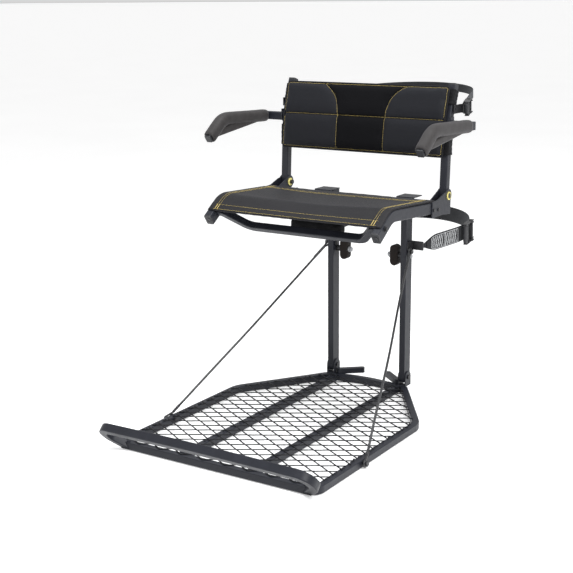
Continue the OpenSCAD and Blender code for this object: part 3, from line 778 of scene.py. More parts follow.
# ---------------------------------------------------------------- backrest
PB = bx("back_pad")
pad_x = PB[1][0]
z0p, z1p = PB[0][2], PB[1][2]
prof = [(PB[0][1], z0p), (PB[0][1] + 11, z0p + 100), (PB[0][1] + 39, z1p)]   # front face: bottom, bend, top


def prof_pt(t):
    """front face centre line, 0 at the bottom edge and 1 at the top; rounded at the bend"""
    a, b, c = [np.array(p) for p in prof]
    L1, L2 = np.linalg.norm(b - a), np.linalg.norm(c - b)
    s = t * (L1 + L2)
    r = 22.0
    if s < L1 - r:
        return a + (b - a) * s / L1
    if s > L1 + r:
        return b + (c - b) * (s - L1) / L2
    u = (s - (L1 - r)) / (2 * r)
    p0, p2 = a + (b - a) * (L1 - r) / L1, b + (c - b) * r / L2
    return (1 - u) ** 2 * p0 + 2 * u * (1 - u) * b + u * u * p2


PROF = np.array([prof_pt(i / 200) for i in range(201)])


def prof_n(t):
    i = min(199, max(0, int(t * 200)))
    d = unit(PROF[i + 1] - PROF[i])
    return np.array([-d[1], d[0]])  # towards the sitter, -Y


def pad_front(x, t, off=0.0):
    i = min(199.999, max(0, t * 200))
    k = int(i)
    p = PROF[k] * (1 - (i - k)) + PROF[k + 1] * (i - k)
    n = prof_n(t)
    return np.array([x, p[0] + n[0] * off, p[1] + n[1] * off])


def panel_half(t):
    """half width of the centre panel, which flares at the top"""
    z = z0p + t * (z1p - z0p)
    zs = [698, 797, 815, 830, 845, 857, 868, 880, 893]
    ws = [75, 76, 78, 81.5, 87, 95, 106, 122, 144]
    return float(np.interp(z, [q - 698 + z0p for q in zs], ws)) * pad_x / 266


t_mid = 100.0 / (z1p - z0p)


def back_pad():
    nx, nt = 96, 40
    # closed form: front sheet and rear sheet joined round the edge
    def thick(x, t):
        """rear offset behind the front face"""
        inner = min(1.0, max(0.0, (246 - abs(x)) / 12.0))
        e = min(t, 1 - t) * 195
        ez = min(1.0, e / 14.0)
        deep = 12.5 if t > 0.6 else 15.0
        return 7.4 + deep * (inner * ez) ** 1.0 * 0.9

    verts, faces = [], []
    idx = {}
    for side in (0, 1):
        for j in range(nt + 1):
            t = j / nt
            for i in range(nx + 1):
                x = -pad_x + 2 * pad_x * i / nx
                ed = min(pad_x - abs(x), min(t, 1 - t) * 195.0)
                if side == 0:
                    off = -0.9 * (1 - min(1, ed / 5.0)) - 0.9
                else:
                    off = -thick(x, t)
                    if ed <= 0.01:
                        off = -7.2
                # corners pulled in a little
                cx = x * (1 - 0.006 * (abs(2 * t - 1) ** 3))
                p = pad_front(cx * 0.992, 0.012 + t * 0.976, off)
                idx[side, i, j] = len(verts)
                verts.append(p)
    for side in (0, 1):
        for j in range(nt):
            for i in range(nx):
                f = (idx[side, i, j], idx[side, i + 1, j], idx[side, i + 1, j + 1], idx[side, i, j + 1])
                faces.append(f if side == 0 else f[::-1])
    for i in range(nx):
        faces.append((idx[0, i, 0], idx[1, i, 0], idx[1, i + 1, 0], idx[0, i + 1, 0]))
        faces.append((idx[0, i, nt], idx[0, i + 1, nt], idx[1, i + 1, nt], idx[1, i, nt]))
    for j in range(nt):
        faces.append((idx[0, 0, j], idx[0, 0, j + 1], idx[1, 0, j + 1], idx[1, 0, j]))
        faces.append((idx[0, nx, j], idx[1, nx, j], idx[1, nx, j + 1], idx[0, nx, j + 1]))
    ob = recalc(obj_from("backrest_pad", verts, faces, "pad"))
    rm = ob.modifiers.new("rm", "REMESH")
    rm.mode = "VOXEL"
    rm.voxel_size = 0.0040
    apply_all(ob)
    rest = np.array([v.co for v in ob.data.vertices])
    cl = ob.modifiers.new("cloth", "CLOTH")
    st = cl.settings
    st.quality = 5
    st.mass = 0.3
    st.tension_stiffness = 12
    st.compression_stiffness = 12
    st.shear_stiffness = 6
    st.bending_stiffness = 0.6
    st.use_pressure = True
    st.uniform_pressure_force = 4.0
    st.effector_weights.gravity = 0
    sc = bpy.context.scene
    cl.point_cache.frame_start = 1
    cl.point_cache.frame_end = 20
    for f in range(1, 21):
        sc.frame_set(f)
    dg = bpy.context.evaluated_depsgraph_get()
    ev = ob.evaluated_get(dg)
    co = np.array([v.co for v in ev.data.vertices])
    d = co - rest
    ln = np.linalg.norm(d, axis=1)
    cap = 0.0065
    k = np.minimum(1, cap / np.maximum(ln, 1e-9))
    d = d * k[:, None]
    # keep the swelling across the pad; the sewn outline holds its size
    rm_ = rest / mm
    best_ = np.full(len(rm_), 1e9)
    nrm_ = np.zeros((len(rm_), 3))
    for i in range(0, 201, 4):
        dd = ((rm_[:, 1:] - PROF[i]) ** 2).sum(1)
        sel = dd < best_
        best_[sel] = dd[sel]
        q = prof_n(i / 200)
        nrm_[sel] = (0, q[0], q[1])
    co = rest + nrm_ * (d * nrm_).sum(1)[:, None]
    ob.modifiers.clear()
    sc.frame_set(1)
    for v, c in zip(ob.data.vertices, co):
        v.co = c
    sub = ob.modifiers.new("s", "SUBSURF")
    sub.levels = sub.render_levels = 1
    apply_all(ob)
    # seams and sewn edges after the swelling
    me = ob.data
    nv = len(me.vertices)
    co = np.zeros(nv * 3)
    me.vertices.foreach_get("co", co)
    co = co.reshape(-1, 3) / mm
    no = np.zeros(nv * 3)
    me.vertices.foreach_get("normal", no)
    no = no.reshape(-1, 3)
    # nearest t for each vertex from its Y,Z
    yz = co[:, 1:]
    ts = np.zeros(nv)
    best = np.full(nv, 1e9)
    for i in range(0, 201, 2):
        dd = ((yz - PROF[i]) ** 2).sum(1)
        m = dd < best
        best[m] = dd[m]
        ts[m] = i / 200
    nn = np.array([prof_n(t) for t in ts])
    px_ = np.array([PROF[min(200, int(round(t * 200)))] for t in ts])
    depth = ((yz - px_) * nn).sum(1)          # above the front face when positive
    frontish = np.clip((no[:, 1] * nn[:, 0] + no[:, 2] * nn[:, 1]) * 2, 0, 1)
    x = co[:, 0]
    dist_mid = np.abs(ts - t_mid) * 200
    half = np.array([panel_half(t) for t in ts])
    dist_side = np.abs(np.abs(x) - half) * 0.9
    edge = np.minimum((pad_x - np.abs(x)), np.minimum(ts, 1 - ts) * 197)
    dist_edge = np.abs(edge - 7.0)
    dip = 3.4 * np.exp(-(dist_mid / 3.2) ** 2) + 2.6 * np.exp(-(dist_side / 3.4) ** 2)
    dip = np.minimum(dip, 4.2) + 1.8 * np.exp(-(dist_mid / 11.0) ** 2) + 1.1 * np.exp(-(dist_side / 10.0) ** 2)
    dip += 1.4 * np.exp(-(dist_edge / 2.0) ** 2)
    # soft pillows between the seams, and small pull wrinkles that start at them
    pill = np.clip(dist_mid / 34, 0, 1) * np.clip(dist_side / 34, 0, 1) * np.clip((edge - 4) / 26, 0, 1)
    lift = 4.6 * np.sin(np.clip(pill, 0, 1) * math.pi / 2)
    wr = 0.0
    for q in range(7):
        a = math.radians(20 + 37 * q)
        wr = wr + np.sin((x * math.cos(a) + ts * 195 * math.sin(a)) * (0.11 + 0.021 * q) + q * 1.7)
    wr = wr / 7 * 0.75
    near = np.exp(-(np.minimum(dist_mid, np.minimum(dist_side, dist_edge * 1.2)) / 14.0) ** 2)
    pk = np.sin(x * 0.42 + np.sin(x * 0.05) * 2.0) * np.exp(-(dist_mid / 8.0) ** 2) * 0.35
    off = (-dip + lift + wr * (0.35 + near) + pk) * frontish
    co[:, 1] += nn[:, 0] * off
    co[:, 2] += nn[:, 1] * off
    # long soft folds on the back
    rear = np.clip(no[:, 1] * 1.5 - 0.2, 0, 1)
    co[:, 1] += rear * (np.sin(x * 0.045 + 0.6) * 0.8 + np.sin(ts * 21) * 0.6)
    # the rear gives way round the heads of the arm bolts
    near_b = np.clip(1 - np.hypot((np.abs(x) - 248.0) / 18.0, (co[:, 2] - 787.0) / 19.0), 0, 1)
    co[:, 1] -= np.minimum(1.0, near_b * 3.0) * np.clip((-depth - 2.0) / 2.5, 0, 1) * 3.5
    me.vertices.foreach_set("co", (co * mm).ravel())
    me.update()
    # centre panel's darker cloth, and the plain back
    me.materials.clear()
    for k in ("pad", "padmid", "padback", "bind"):
        me.materials.append(M[k])
    cen = np.zeros(len(me.polygons) * 3)
    me.polygons.foreach_get("center", cen)
    cen = cen.reshape(-1, 3) / mm
    pn = np.zeros(len(me.polygons) * 3)
    me.polygons.foreach_get("normal", pn)
    pn = pn.reshape(-1, 3)
    mi = np.zeros(len(me.polygons), int)
    # t of polygon centre by Z along the slope
    tz = np.clip(np.interp(cen[:, 2], PROF[:, 1], np.linspace(0, 1, 201)), 0, 1)
    hz = np.array([panel_half(t) for t in tz])
    mi[(np.abs(cen[:, 0]) < hz) & (pn[:, 1] < 0.2)] = 1
    mi[pn[:, 1] > 0.35] = 2
    me.polygons.foreach_set("material_index", mi.astype(np.int32))
    for p in me.polygons:
        p.use_smooth = True
    me.update()
    return ob


pad = back_pad()
from mathutils.bvhtree import BVHTree


def bvh_of(ob):
    me = ob.data
    return BVHTree.FromPolygons([v.co[:] for v in me.vertices], [p.vertices[:] for p in me.polygons])


pad_bvh = bvh_of(pad)


def on_pad(x, t, lift=0.0):
    p = pad_front(x, t, 40)
    q = pad_front(x, t, -20)
    o = Vector([c * mm for c in p])
    d = (Vector([c * mm for c in q]) - o).normalized()
    hit = pad_bvh.ray_cast(o, d)
    if hit[0] is None:
        return pad_front(x, t, 1.0)
    return np.array(hit[0]) / mm - np.array(d) * lift


def pad_n(p):
    t = float(np.interp(p[2], PROF[:, 1], np.linspace(0, 1, 201)))
    n = prof_n(t)
    return np.array([0, n[0], n[1]])


def back_trim():
    st = []
    e = 7.0 / 197
    ex = pad_x - 7.5
    # double row each side of the seams is one row beside the seam on this pad
    rows = []
    rows.append([on_pad(x, t_mid + 0.004) for x in np.linspace(-ex, ex, 130)])
    for s in (-1, 1):
        rows.append([on_pad(s * (panel_half(t) + 1.5), t) for t in np.linspace(e, 1 - e, 60)])
    rows.append([on_pad(x, e) for x in np.linspace(-ex, ex, 130)])
    rows.append([on_pad(x, 1 - e) for x in np.linspace(-ex, ex, 130)])
    for s in (-1, 1):
        rows.append([on_pad(s * ex, t) for t in np.linspace(e, 1 - e, 60)])
    obs = [stitches("r%d" % i, r, pad_n, "gold", 4.2, 3.1, 0.48, 0.30) for i, r in enumerate(rows)]
    ob = join("backrest_stitching", obs)
    ride(ob, "mast")
    # piping: a thin rolled edge round the pad
    loop = []
    per = []
    for x in np.linspace(-pad_x + 7, pad_x - 7, 90):
        per.append((x, 0.018))
    for t in np.linspace(0.03, 0.97, 34):
        per.append((pad_x - 3.2, t))
    for x in np.linspace(pad_x - 7, -pad_x + 7, 90):
        per.append((x, 0.982))
    for t in np.linspace(0.97, 0.03, 34):
        per.append((-pad_x + 3.2, t))
    loop = [pad_front(x * 0.992, t, -4.2) for (x, t) in per]
    pipe = sweep("backrest_piping", loop, circle_sec(3.2, 10), "bind", (0, 1, 0.2), closed=True)
    ride(pipe, "mast")


ride(pad, "mast")
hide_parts("back_pad")
back_trim()


# ------------------------------------------------- fabric loops on uprights
def sleeve(name, node_lo_hi, z0, z1, sgn):
    """cloth loop round an upright with soft folds and a hem at each end"""
    def centre(z):
        a, b, c = np.array([-29.0, 559]), np.array([-17.0, 790]), np.array([17.0, 891])
        if z < 790:
            return a + (b - a) * (z - 559) / 231
        return b + (c - b) * (z - 790) / 101

    n = 26
    sec = rrect_sec(RW + 4.6, RW + 4.6, 4.0, 4)
    k = len(sec)
    verts, faces, uvs = [], [], []
    for layer in (0, 1):
        for i in range(n + 1):
            f = i / n
            z = z0 + (z1 - z0) * f
            c = centre(z)
            c2 = centre(z + 1)
            t = unit(np.array([0, c2[0] - c[0], c2[1] - c[1]]))
            side = np.array([1.0, 0, 0])
            nn = unit(np.cross(t, side))
            hem = 1.0 if (f < 0.14 or f > 0.86) else 0.0
            for j, (u, v) in enumerate(sec):
                a = 2 * math.pi * j / k
                r = 1 + 0.028 * math.sin(3 * a + 7 * f + sgn) * math.sin(math.pi * f) + 0.018 * math.sin(9 * f * math.pi + a) + 0.022 * hem
                if layer:
                    r -= 0.075
                verts.append(np.array([sgn * SX, c[0], c[1]]) + side * u * r + nn * v * r)
    m = (n + 1) * k
    for layer in (0, 1):
        for i in range(n):
            for j in range(k):
                a = layer * m + i * k + j
                b = layer * m + i * k + (j + 1) % k
                c_ = layer * m + (i + 1) * k + (j + 1) % k
                d = layer * m + (i + 1) * k + j
                faces.append((a, b, c_, d) if layer == 0 else (d, c_, b, a))
    for i in (0, n):
        for j in range(k):
            a, b = i * k + j, i * k + (j + 1) % k
            faces.append((a, m + a, m + b, b) if i == 0 else (b, m + b, m + a, a))
    ob = recalc(obj_from(name, verts, faces, "bind"))
    return ob


SL = bx("pad_sleeves")
sl = []
for s in (-1, 1):
    for (a, b) in ((704, 764), (838, 879)):
        sl.append(sleeve("sl%d%d" % (s, a), None, a, b, s))
so = join("upright_sleeves", sl)
ride(so, "mast")
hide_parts("pad_sleeves")


# ------------------------------------------------------------------- sling
SB = bx("seat_sling")
sl_pts = [np.array(p) for p in ((SB[1][1] + 3.0, 588.0), (-358.0, 601.8), (SB[0][1] + 3.0, 563.8))]
# smooth the profile along the rails' bend
spath = bent_path([(0, p[0], p[1]) for p in sl_pts], [76], 3.0)
spath = resample(spath, 3.0)
SP = spath[:, 1:]
sd = np.r_[0, np.cumsum(np.linalg.norm(np.diff(SP, axis=0), axis=1))]
SLEN = sd[-1]


def sling_pt(x, s, off=0.0):
    """s in mm from the rear edge along the seat"""
    p = np.array([np.interp(s, sd, SP[:, 0]), np.interp(s, sd, SP[:, 1])])
    q = np.array([np.interp(min(SLEN, s + 1), sd, SP[:, 0]), np.interp(min(SLEN, s + 1), sd, SP[:, 1])])
    if s >= SLEN - 1:
        r = np.array([np.interp(s - 1, sd, SP[:, 0]), np.interp(s - 1, sd, SP[:, 1])])
        d = unit(p - r)
    else:
        d = unit(q - p)
    n = np.array([d[1], -d[0]])
    if n[1] < 0:
        n = -n
    inner = SX - RW / 2 - 2
    f = min(1.0, abs(x) / inner)
    span = math.sin(math.pi * min(1, max(0, s / SLEN)))
    sag = -(1 - f * f) * (0.9 + 8.5 * span)
    # the cloth lies on the rails
    return np.array([x, p[0] + n[0] * (off + sag), p[1] + n[1] * (off + sag)]), n


def sling():
    hw = SX + RW / 2 - 1.2
    nx, ns = 120, 72
    verts, faces = [], []
    T = 1.9
    idx = {}

    def ripple(x, s):
        e = min(s, SLEN - s)
        r = 0.55 * math.sin(x * 0.021 + 0.5) * math.sin(s * 0.016 + 1.0)
        r += 0.28 * math.sin(s * 0.11 + 0.7 * math.sin(x * 0.02)) * math.exp(-abs(abs(x) - 236) / 22.0)
        r += 0.22 * math.sin(x * 0.16) * math.exp(-e / 26.0)
        return r

    for side in (0, 1):
        for j in range(ns + 1):
            s = SLEN * j / ns
            for i in range(nx + 1):
                x = -hw + 2 * hw * i / nx
                # folded hems are thicker
                hem = 0.0
                if abs(x) > 243:
                    hem = 0.5
                if s < 42 or s > SLEN - 28:
                    hem = max(hem, 0.9)
                h = (T / 2 + hem * 0.6) * (1 if side == 0 else -1)
                # round the long edges down over the rails' outer corners
                p, n = sling_pt(x, s, h + ripple(x, s))
                over = max(0.0, abs(x) - (hw - 3.5))
                if side == 0:
                    p[1] -= n[0] * over * 0.5
                    p[2] -= n[1] * over * 0.5
                idx[side, i, j] = len(verts)
                verts.append(p)
    for side in (0, 1):
        for j in range(ns):
            for i in range(nx):
                f = (idx[side, i, j], idx[side, i + 1, j], idx[side, i + 1, j + 1], idx[side, i, j + 1])
                faces.append(f if side == 0 else f[::-1])
    for i in range(nx):
        faces.append((idx[0, i, 0], idx[1, i, 0], idx[1, i + 1, 0], idx[0, i + 1, 0]))
        faces.append((idx[0, i, ns], idx[0, i + 1, ns], idx[1, i + 1, ns], idx[1, i, ns]))
    for j in range(ns):
        faces.append((idx[0, 0, j], idx[0, 0, j + 1], idx[1, 0, j + 1], idx[1, 0, j]))
        faces.append((idx[0, nx, j], idx[1, nx, j], idx[1, nx, j + 1], idx[0, nx, j + 1]))
    ob = recalc(obj_from("seat_sling_cloth", verts, faces, "sling"))
    ride(ob, "seat")
    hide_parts("seat_sling")
    bv = bvh_of(ob)

    def on(x, s):
        p, n = sling_pt(x, s, 30)
        o = Vector([c * mm for c in p])
        d = Vector((0, -n[0], -n[1])).normalized()
        h = bv.ray_cast(o, d)
        return np.array(h[0]) / mm if h[0] is not None else sling_pt(x, s, 2)[0]

    def nrm(p):
        s = float(np.interp(-p[1], -SP[:, 0], sd))
        return np.array([0, *sling_pt(0, s)[1]])

    rows = []
    for s in (-1, 1):
        for x in (249.0, 242.0):
            rows.append([on(s * x, q) for q in np.linspace(6, SLEN - 4, 90)])
        rows.append([on(s * (hw - 5), q) for q in np.linspace(30, SLEN - 70, 60)])
    for q in (38.5, 45.5):
        rows.append([on(x, q) for x in np.linspace(-hw + 14, hw - 14, 140)])
    for q in (SLEN - 22.0, SLEN - 4.0):
        rows.append([on(x, q) for x in np.linspace(-hw + 16, hw - 16, 140)])
    obs = []
    for i, r in enumerate(rows):
        mat = "gold"
        if i in (2, 5):
            mat = "black"
        obs.append(stitches("q%d" % i, r, nrm, mat, 4.4, 3.3, 0.46, 0.28))
    gold = join("sling_stitching", [o for i, o in enumerate(obs) if i not in (2, 5)])
    ride(gold, "seat")
    blk = join("sling_edge_stitching", [o for i, o in enumerate(obs) if i in (2, 5)])
    ride(blk, "seat")
    # bartacks at the front corners
    bt = []
    for s in (-1, 1):
        for q in (249.4, 248.6, 242.4, 241.6):
            x = s * q
            row = [on(x, u_) + np.array([0, *sling_pt(0, u_)[1]]) * 0.4 for u_ in np.linspace(SLEN - 22, SLEN - 4, 9)]
            bt.append(sweep("b", row, circle_sec(0.5, 6), "gold", (1, 0, 0)))
    b = join("sling_bartacks", bt)
    ride(b, "seat")
    # the hem turned under the front edge
    vs, fs = [], []
    for i in range(61):
        x = -hw + 14 + (2 * hw - 28) * i / 60
        for j in range(5):
            a = math.pi * j / 4
            p, n = sling_pt(x, SLEN - 1.5, 0)
            d = np.array([0, -n[1], n[0]])
            if d[1] > 0:
                d = -d
            c = p + np.array([0, -n[0], -n[1]]) * 1.2
            r = 2.6 + 0.3 * math.sin(x * 0.2)
            vs.append(c + d * r * math.sin(a) + np.array([0, n[0], n[1]]) * r * math.cos(a))
    for i in range(60):
        for j in range(4):
            fs.append((i * 5 + j, i * 5 + j + 1, (i + 1) * 5 + j + 1, (i + 1) * 5 + j))
    hm = recalc(obj_from("sling_front_roll", vs, fs, "sling"))
    ride(hm, "seat")
    return ob


sling()


# -------------------------------------------------------------- seat pouch
def pouch():
    lo, hi = bx("under_seat_pouch")
    c = (lo + hi) / 2
    h = (hi - lo) / 2
    nx, ny, nz = 28, 10, 8
    bm = bmesh.new()
    bmesh.ops.create_grid(bm, x_segments=2, y_segments=2, size=1)
    bm.clear()
    bmesh.ops.create_cube(bm, size=2.0)
    bmesh.ops.subdivide_edges(bm, edges=bm.edges[:], cuts=14, use_grid_fill=True)
    for v in bm.verts:
        x, y, z = v.co
        e = 5.0
        n = (abs(x) ** e + abs(y) ** e + abs(z) ** e) ** (1 / e)
        x, y, z = x / n, y / n, z / n
        sag = -0.10 * (1 - x * x) * (1 if z < 0 else 0.4)
        wr = 0.03 * math.sin(9 * x + 3 * z) + 0.025 * math.sin(17 * x - 4 * y)
        v.co = Vector(((c[0] + h[0] * x * 0.99) * mm, (c[1] + h[1] * (y * (0.95 + wr))) * mm, (c[2] + h[2] * (z * (0.97 + wr) + sag)) * mm))
    me = bpy.data.meshes.new("under_seat_bag")
    bm.to_mesh(me)
    bm.free()
    me.materials.append(M["bind"])
    for p in me.polygons:
        p.use_smooth = True
    ob = bpy.data.objects.new("under_seat_bag", me)
    bpy.context.scene.collection.objects.link(ob)
    ride(ob, "seat")
    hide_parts("under_seat_pouch")
    # two hanger loops up to the sling
    obs = []
    for s in (-1, 1):
        for x in (s * 58,):
            top = sling_pt(x, 165, -2)[0]
            pts = [(x, c[1], hi[2] - 2), (x, c[1], hi[2] + 25), (x, c[1] + 1, top[2] - 1)]
            obs.append(sweep("l", resample(pts, 5), [(-9, -0.8), (9, -0.8), (9, 0.8), (-9, 0.8)], "web", (0, 1, 0)))
    lo_ = join("bag_hangers", obs)
    bevel(lo_, 0.5, 2)
    ride(lo_, "seat")


pouch()


# ------------------------------------------------------------------- grips
def grips():
    lo, hi = bx("arm_tube_right")
    ax_ = 332.0
    ay, az = -17.0, 787.0
    pts = [np.array([ax_, ay - 7, az + 0.3]), np.array([ax_, ay - 12 - 300 * 0.74, az + 9]), np.array([ax_, ay - 300, az - 40])]
    t0 = unit(pts[1] - pts[0])
    t2 = unit(pts[2] - pts[1])
    a = pts[0] + t0 * 11
    b = pts[2] - t2 * 1.5
    path = resample(bent_path([a, pts[1], b], [75], 3), 3.0)
    L = np.r_[0, np.cumsum(np.linalg.norm(np.diff(path, axis=0), axis=1))]
    tot = L[-1]
    fr = frames(path, (1, 0, 0))
    k = 36
    verts, faces = [], []

    def ring(i, rx, rz, inner=False):
        p, t, s, n = fr[i]
        for j in range(k):
            q = 2 * math.pi * j / k
            # rounded square cross-section
            c, sn = math.cos(q), math.sin(q)
            e = 2.5
            r = (abs(c) ** e + abs(sn) ** e) ** (-1 / e)
            w = 1.0
            if not inner:
                w += 0.006 * math.sin(3 * q + L[i] * 0.05) + 0.004 * math.sin(L[i] * 0.21 + q)
            verts.append(p + n * c * r * rx * w + s * sn * r * rz * w)

    n = len(path)
    rings = 0
    # from inside the front end, out over the rim, along, and back in at the rear
    RX, RZ = 16.6, 18.0
    ix, iz = 10.2, 11.6
    rr = []
    for d, sx in ((11, 0.0), (4, 0.0)):
        rr.append(("in", tot - d))
    rr.append(("lip", tot))
    for s in (0.0,):
        rr.append(("c1", tot))
    # outer
    seq = []
    for d in (14.0, 8.0, 2.0):
        seq.append((tot - d, "in"))
    seq.append((tot, "rimin"))
    seq.append((tot, "rimout"))
    seq.append((tot - 2.2, "cham"))
    for i in range(int(tot - 8), 7, -3):
        seq.append((float(i), "out"))
    seq.append((2.2, "cham"))
    seq.append((0.0, "rimout"))
    seq.append((0.0, "rimin"))
    for d in (2.0, 6.0, 10.0):
        seq.append((d, "in"))
    cnt = 0
    for (s_, kind) in seq:
        # interpolated frame
        p = np.array([np.interp(s_, L, path[:, c]) for c in range(3)])
        i = int(np.clip(np.searchsorted(L, s_), 1, n - 1))
        _, t, sd_, nn = fr[i]
        rx, rz = {"in": (ix, iz), "rimin": (ix + 0.8, iz + 0.8), "rimout": (RX - 3.4, RZ - 3.4), "cham": (RX - 0.6, RZ - 0.6), "out": (RX, RZ)}[kind]
        for j in range(k):
            q = 2 * math.pi * j / k
            c, sn = math.cos(q), math.sin(q)
            e = 2.6 if kind not in ("in", "rimin") else 5.0
            r = (abs(c) ** e + abs(sn) ** e) ** (-1 / e)
            w = 1.0 + (0.008 * math.sin(2 * q + s_ * 0.03) + 0.005 * math.sin(s_ * 0.17 + 2 * q) if kind == "out" else 0)
            verts.append(p + np.array(nn) * c * r * rx * w + np.array(sd_) * sn * r * rz * w)
        cnt += 1
    for i in range(cnt - 1):
        for j in range(k):
            faces.append((i * k + j, i * k + (j + 1) % k, (i + 1) * k + (j + 1) % k, (i + 1) * k + j))
    # close the inner ends behind the tube so the sleeve is a closed shell
    for j in range(k):
        a1, b1 = (cnt - 1) * k + j, (cnt - 1) * k + (j + 1) % k
        faces.append((a1, b1, (j + 1) % k, j))
    ob = recalc(obj_from("arm_foam_right", verts, faces, "foam"))
    ob2 = mirror(ob, "arm_foam_left")
    ride(ob, "arm_right")
    ride(ob2, "arm_left")
    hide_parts("arm_grip_right")
    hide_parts("arm_grip_left")


grips()


# ------------------------------------------------------------------ cables
def cables():
    A = np.array([HX + 9.5 + 5.5, 14, 411.0])
    B = np.array([300 + 16.5, -564, -9.0])
    v = unit(B - A)

    def eye_path(c, d, r=8.2):
        """loop round a bolt that runs along X, drawn from the neck and back to it"""
        pts = []
        dd = unit(np.array([0, d[1], d[2]]))
        pr = np.array([0, -dd[2], dd[1]])
        neck = c + d * 24
        pts.append(neck + pr * 0.6)
        for q in range(13):
            a = math.radians(55 + 250 * q / 12)
            pts.append(c + dd * r * math.cos(a) + pr * r * math.sin(a) * -1)
        pts.append(neck - pr * 0.6)
        return resample(pts, 1.2)

    for s in (1, -1):
        obs = []
        # main run: nearly straight, with the slight set a coiled cable keeps
        P = []
        L = np.linalg.norm(B - A)
        side = unit(np.cross(v, (0, 0, 1)))
        up = unit(np.cross(side, v))
        for i in range(161):
            f = i / 160
            p = A + (B - A) * (0.035 + 0.93 * f)
            w = math.sin(math.pi * f)
            p = p + up * (-3.0 * w + 1.2 * math.sin(f * 9.0) * w) + side * 1.6 * math.sin(f * 6.5 + 1) * w
            P.append(p)
        obs.append(sweep("c", P, circle_sec(3.3, 10), "vinyl", (1, 0, 0)))
        obs.append(sweep("c", eye_path(A, v), circle_sec(2.9, 8), "vinyl", (1, 0, 0)))
        obs.append(sweep("c", eye_path(B, -v), circle_sec(2.9, 8), "vinyl", (1, 0, 0)))
        # heat-shrink sleeve under the top eye and swaged sleeve at the bottom
        top = [A + v * d for d in (20, 21.5, 30, 45, 60, 66, 68)]
        obs.append(sweep("c", resample(top, 2), circle_sec(4.1, 14), "vinyl", (1, 0, 0), None))
        ob = join("stay_cable_%s" % ("right" if s > 0 else "left"), obs)
        if s < 0:
            o2 = mirror(ob, "stay_cable_left")
            bpy.data.objects.remove(ob)
            ob = o2
            ob.name = "stay_cable_left"
        ob.data.materials.clear()
        ob.data.materials.append(M["vinyl"])
        for p in ob.data.polygons:
            p.material_index = 0
            p.use_smooth = True
        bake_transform(ob)
        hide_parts("cable_right" if s > 0 else "cable_left")
        # swaged sleeves
        for nm, c, d, body in (("top", A, v, "mast"), ("low", B, -v, "platform")):
            if nm == "top":
                continue
            pth = resample([c + d * q for q in (24, 52)], 0.9)
            sc = []
            for i in range(len(pth)):
                f = i / (len(pth) - 1)
                sc.append((0.86 if (f < 0.04 or f > 0.96) else 1.0) - 0.10 * (0.5 + 0.5 * math.cos(f * 2 * math.pi * 4)) * (0.06 < f < 0.94))
            sw = sweep("w", pth, circle_sec(4.4, 16, 3.7), "hw", (1, 0, 0), sc)
            if s < 0:
                o2 = mirror(sw, "x")
                bpy.data.objects.remove(sw)
                sw = o2
            sw.name = "swage_%s_%s" % (nm, "right" if s > 0 else "left")
            ride(sw, body)
            if s > 0:
                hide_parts("cable_ferrules")


cables()


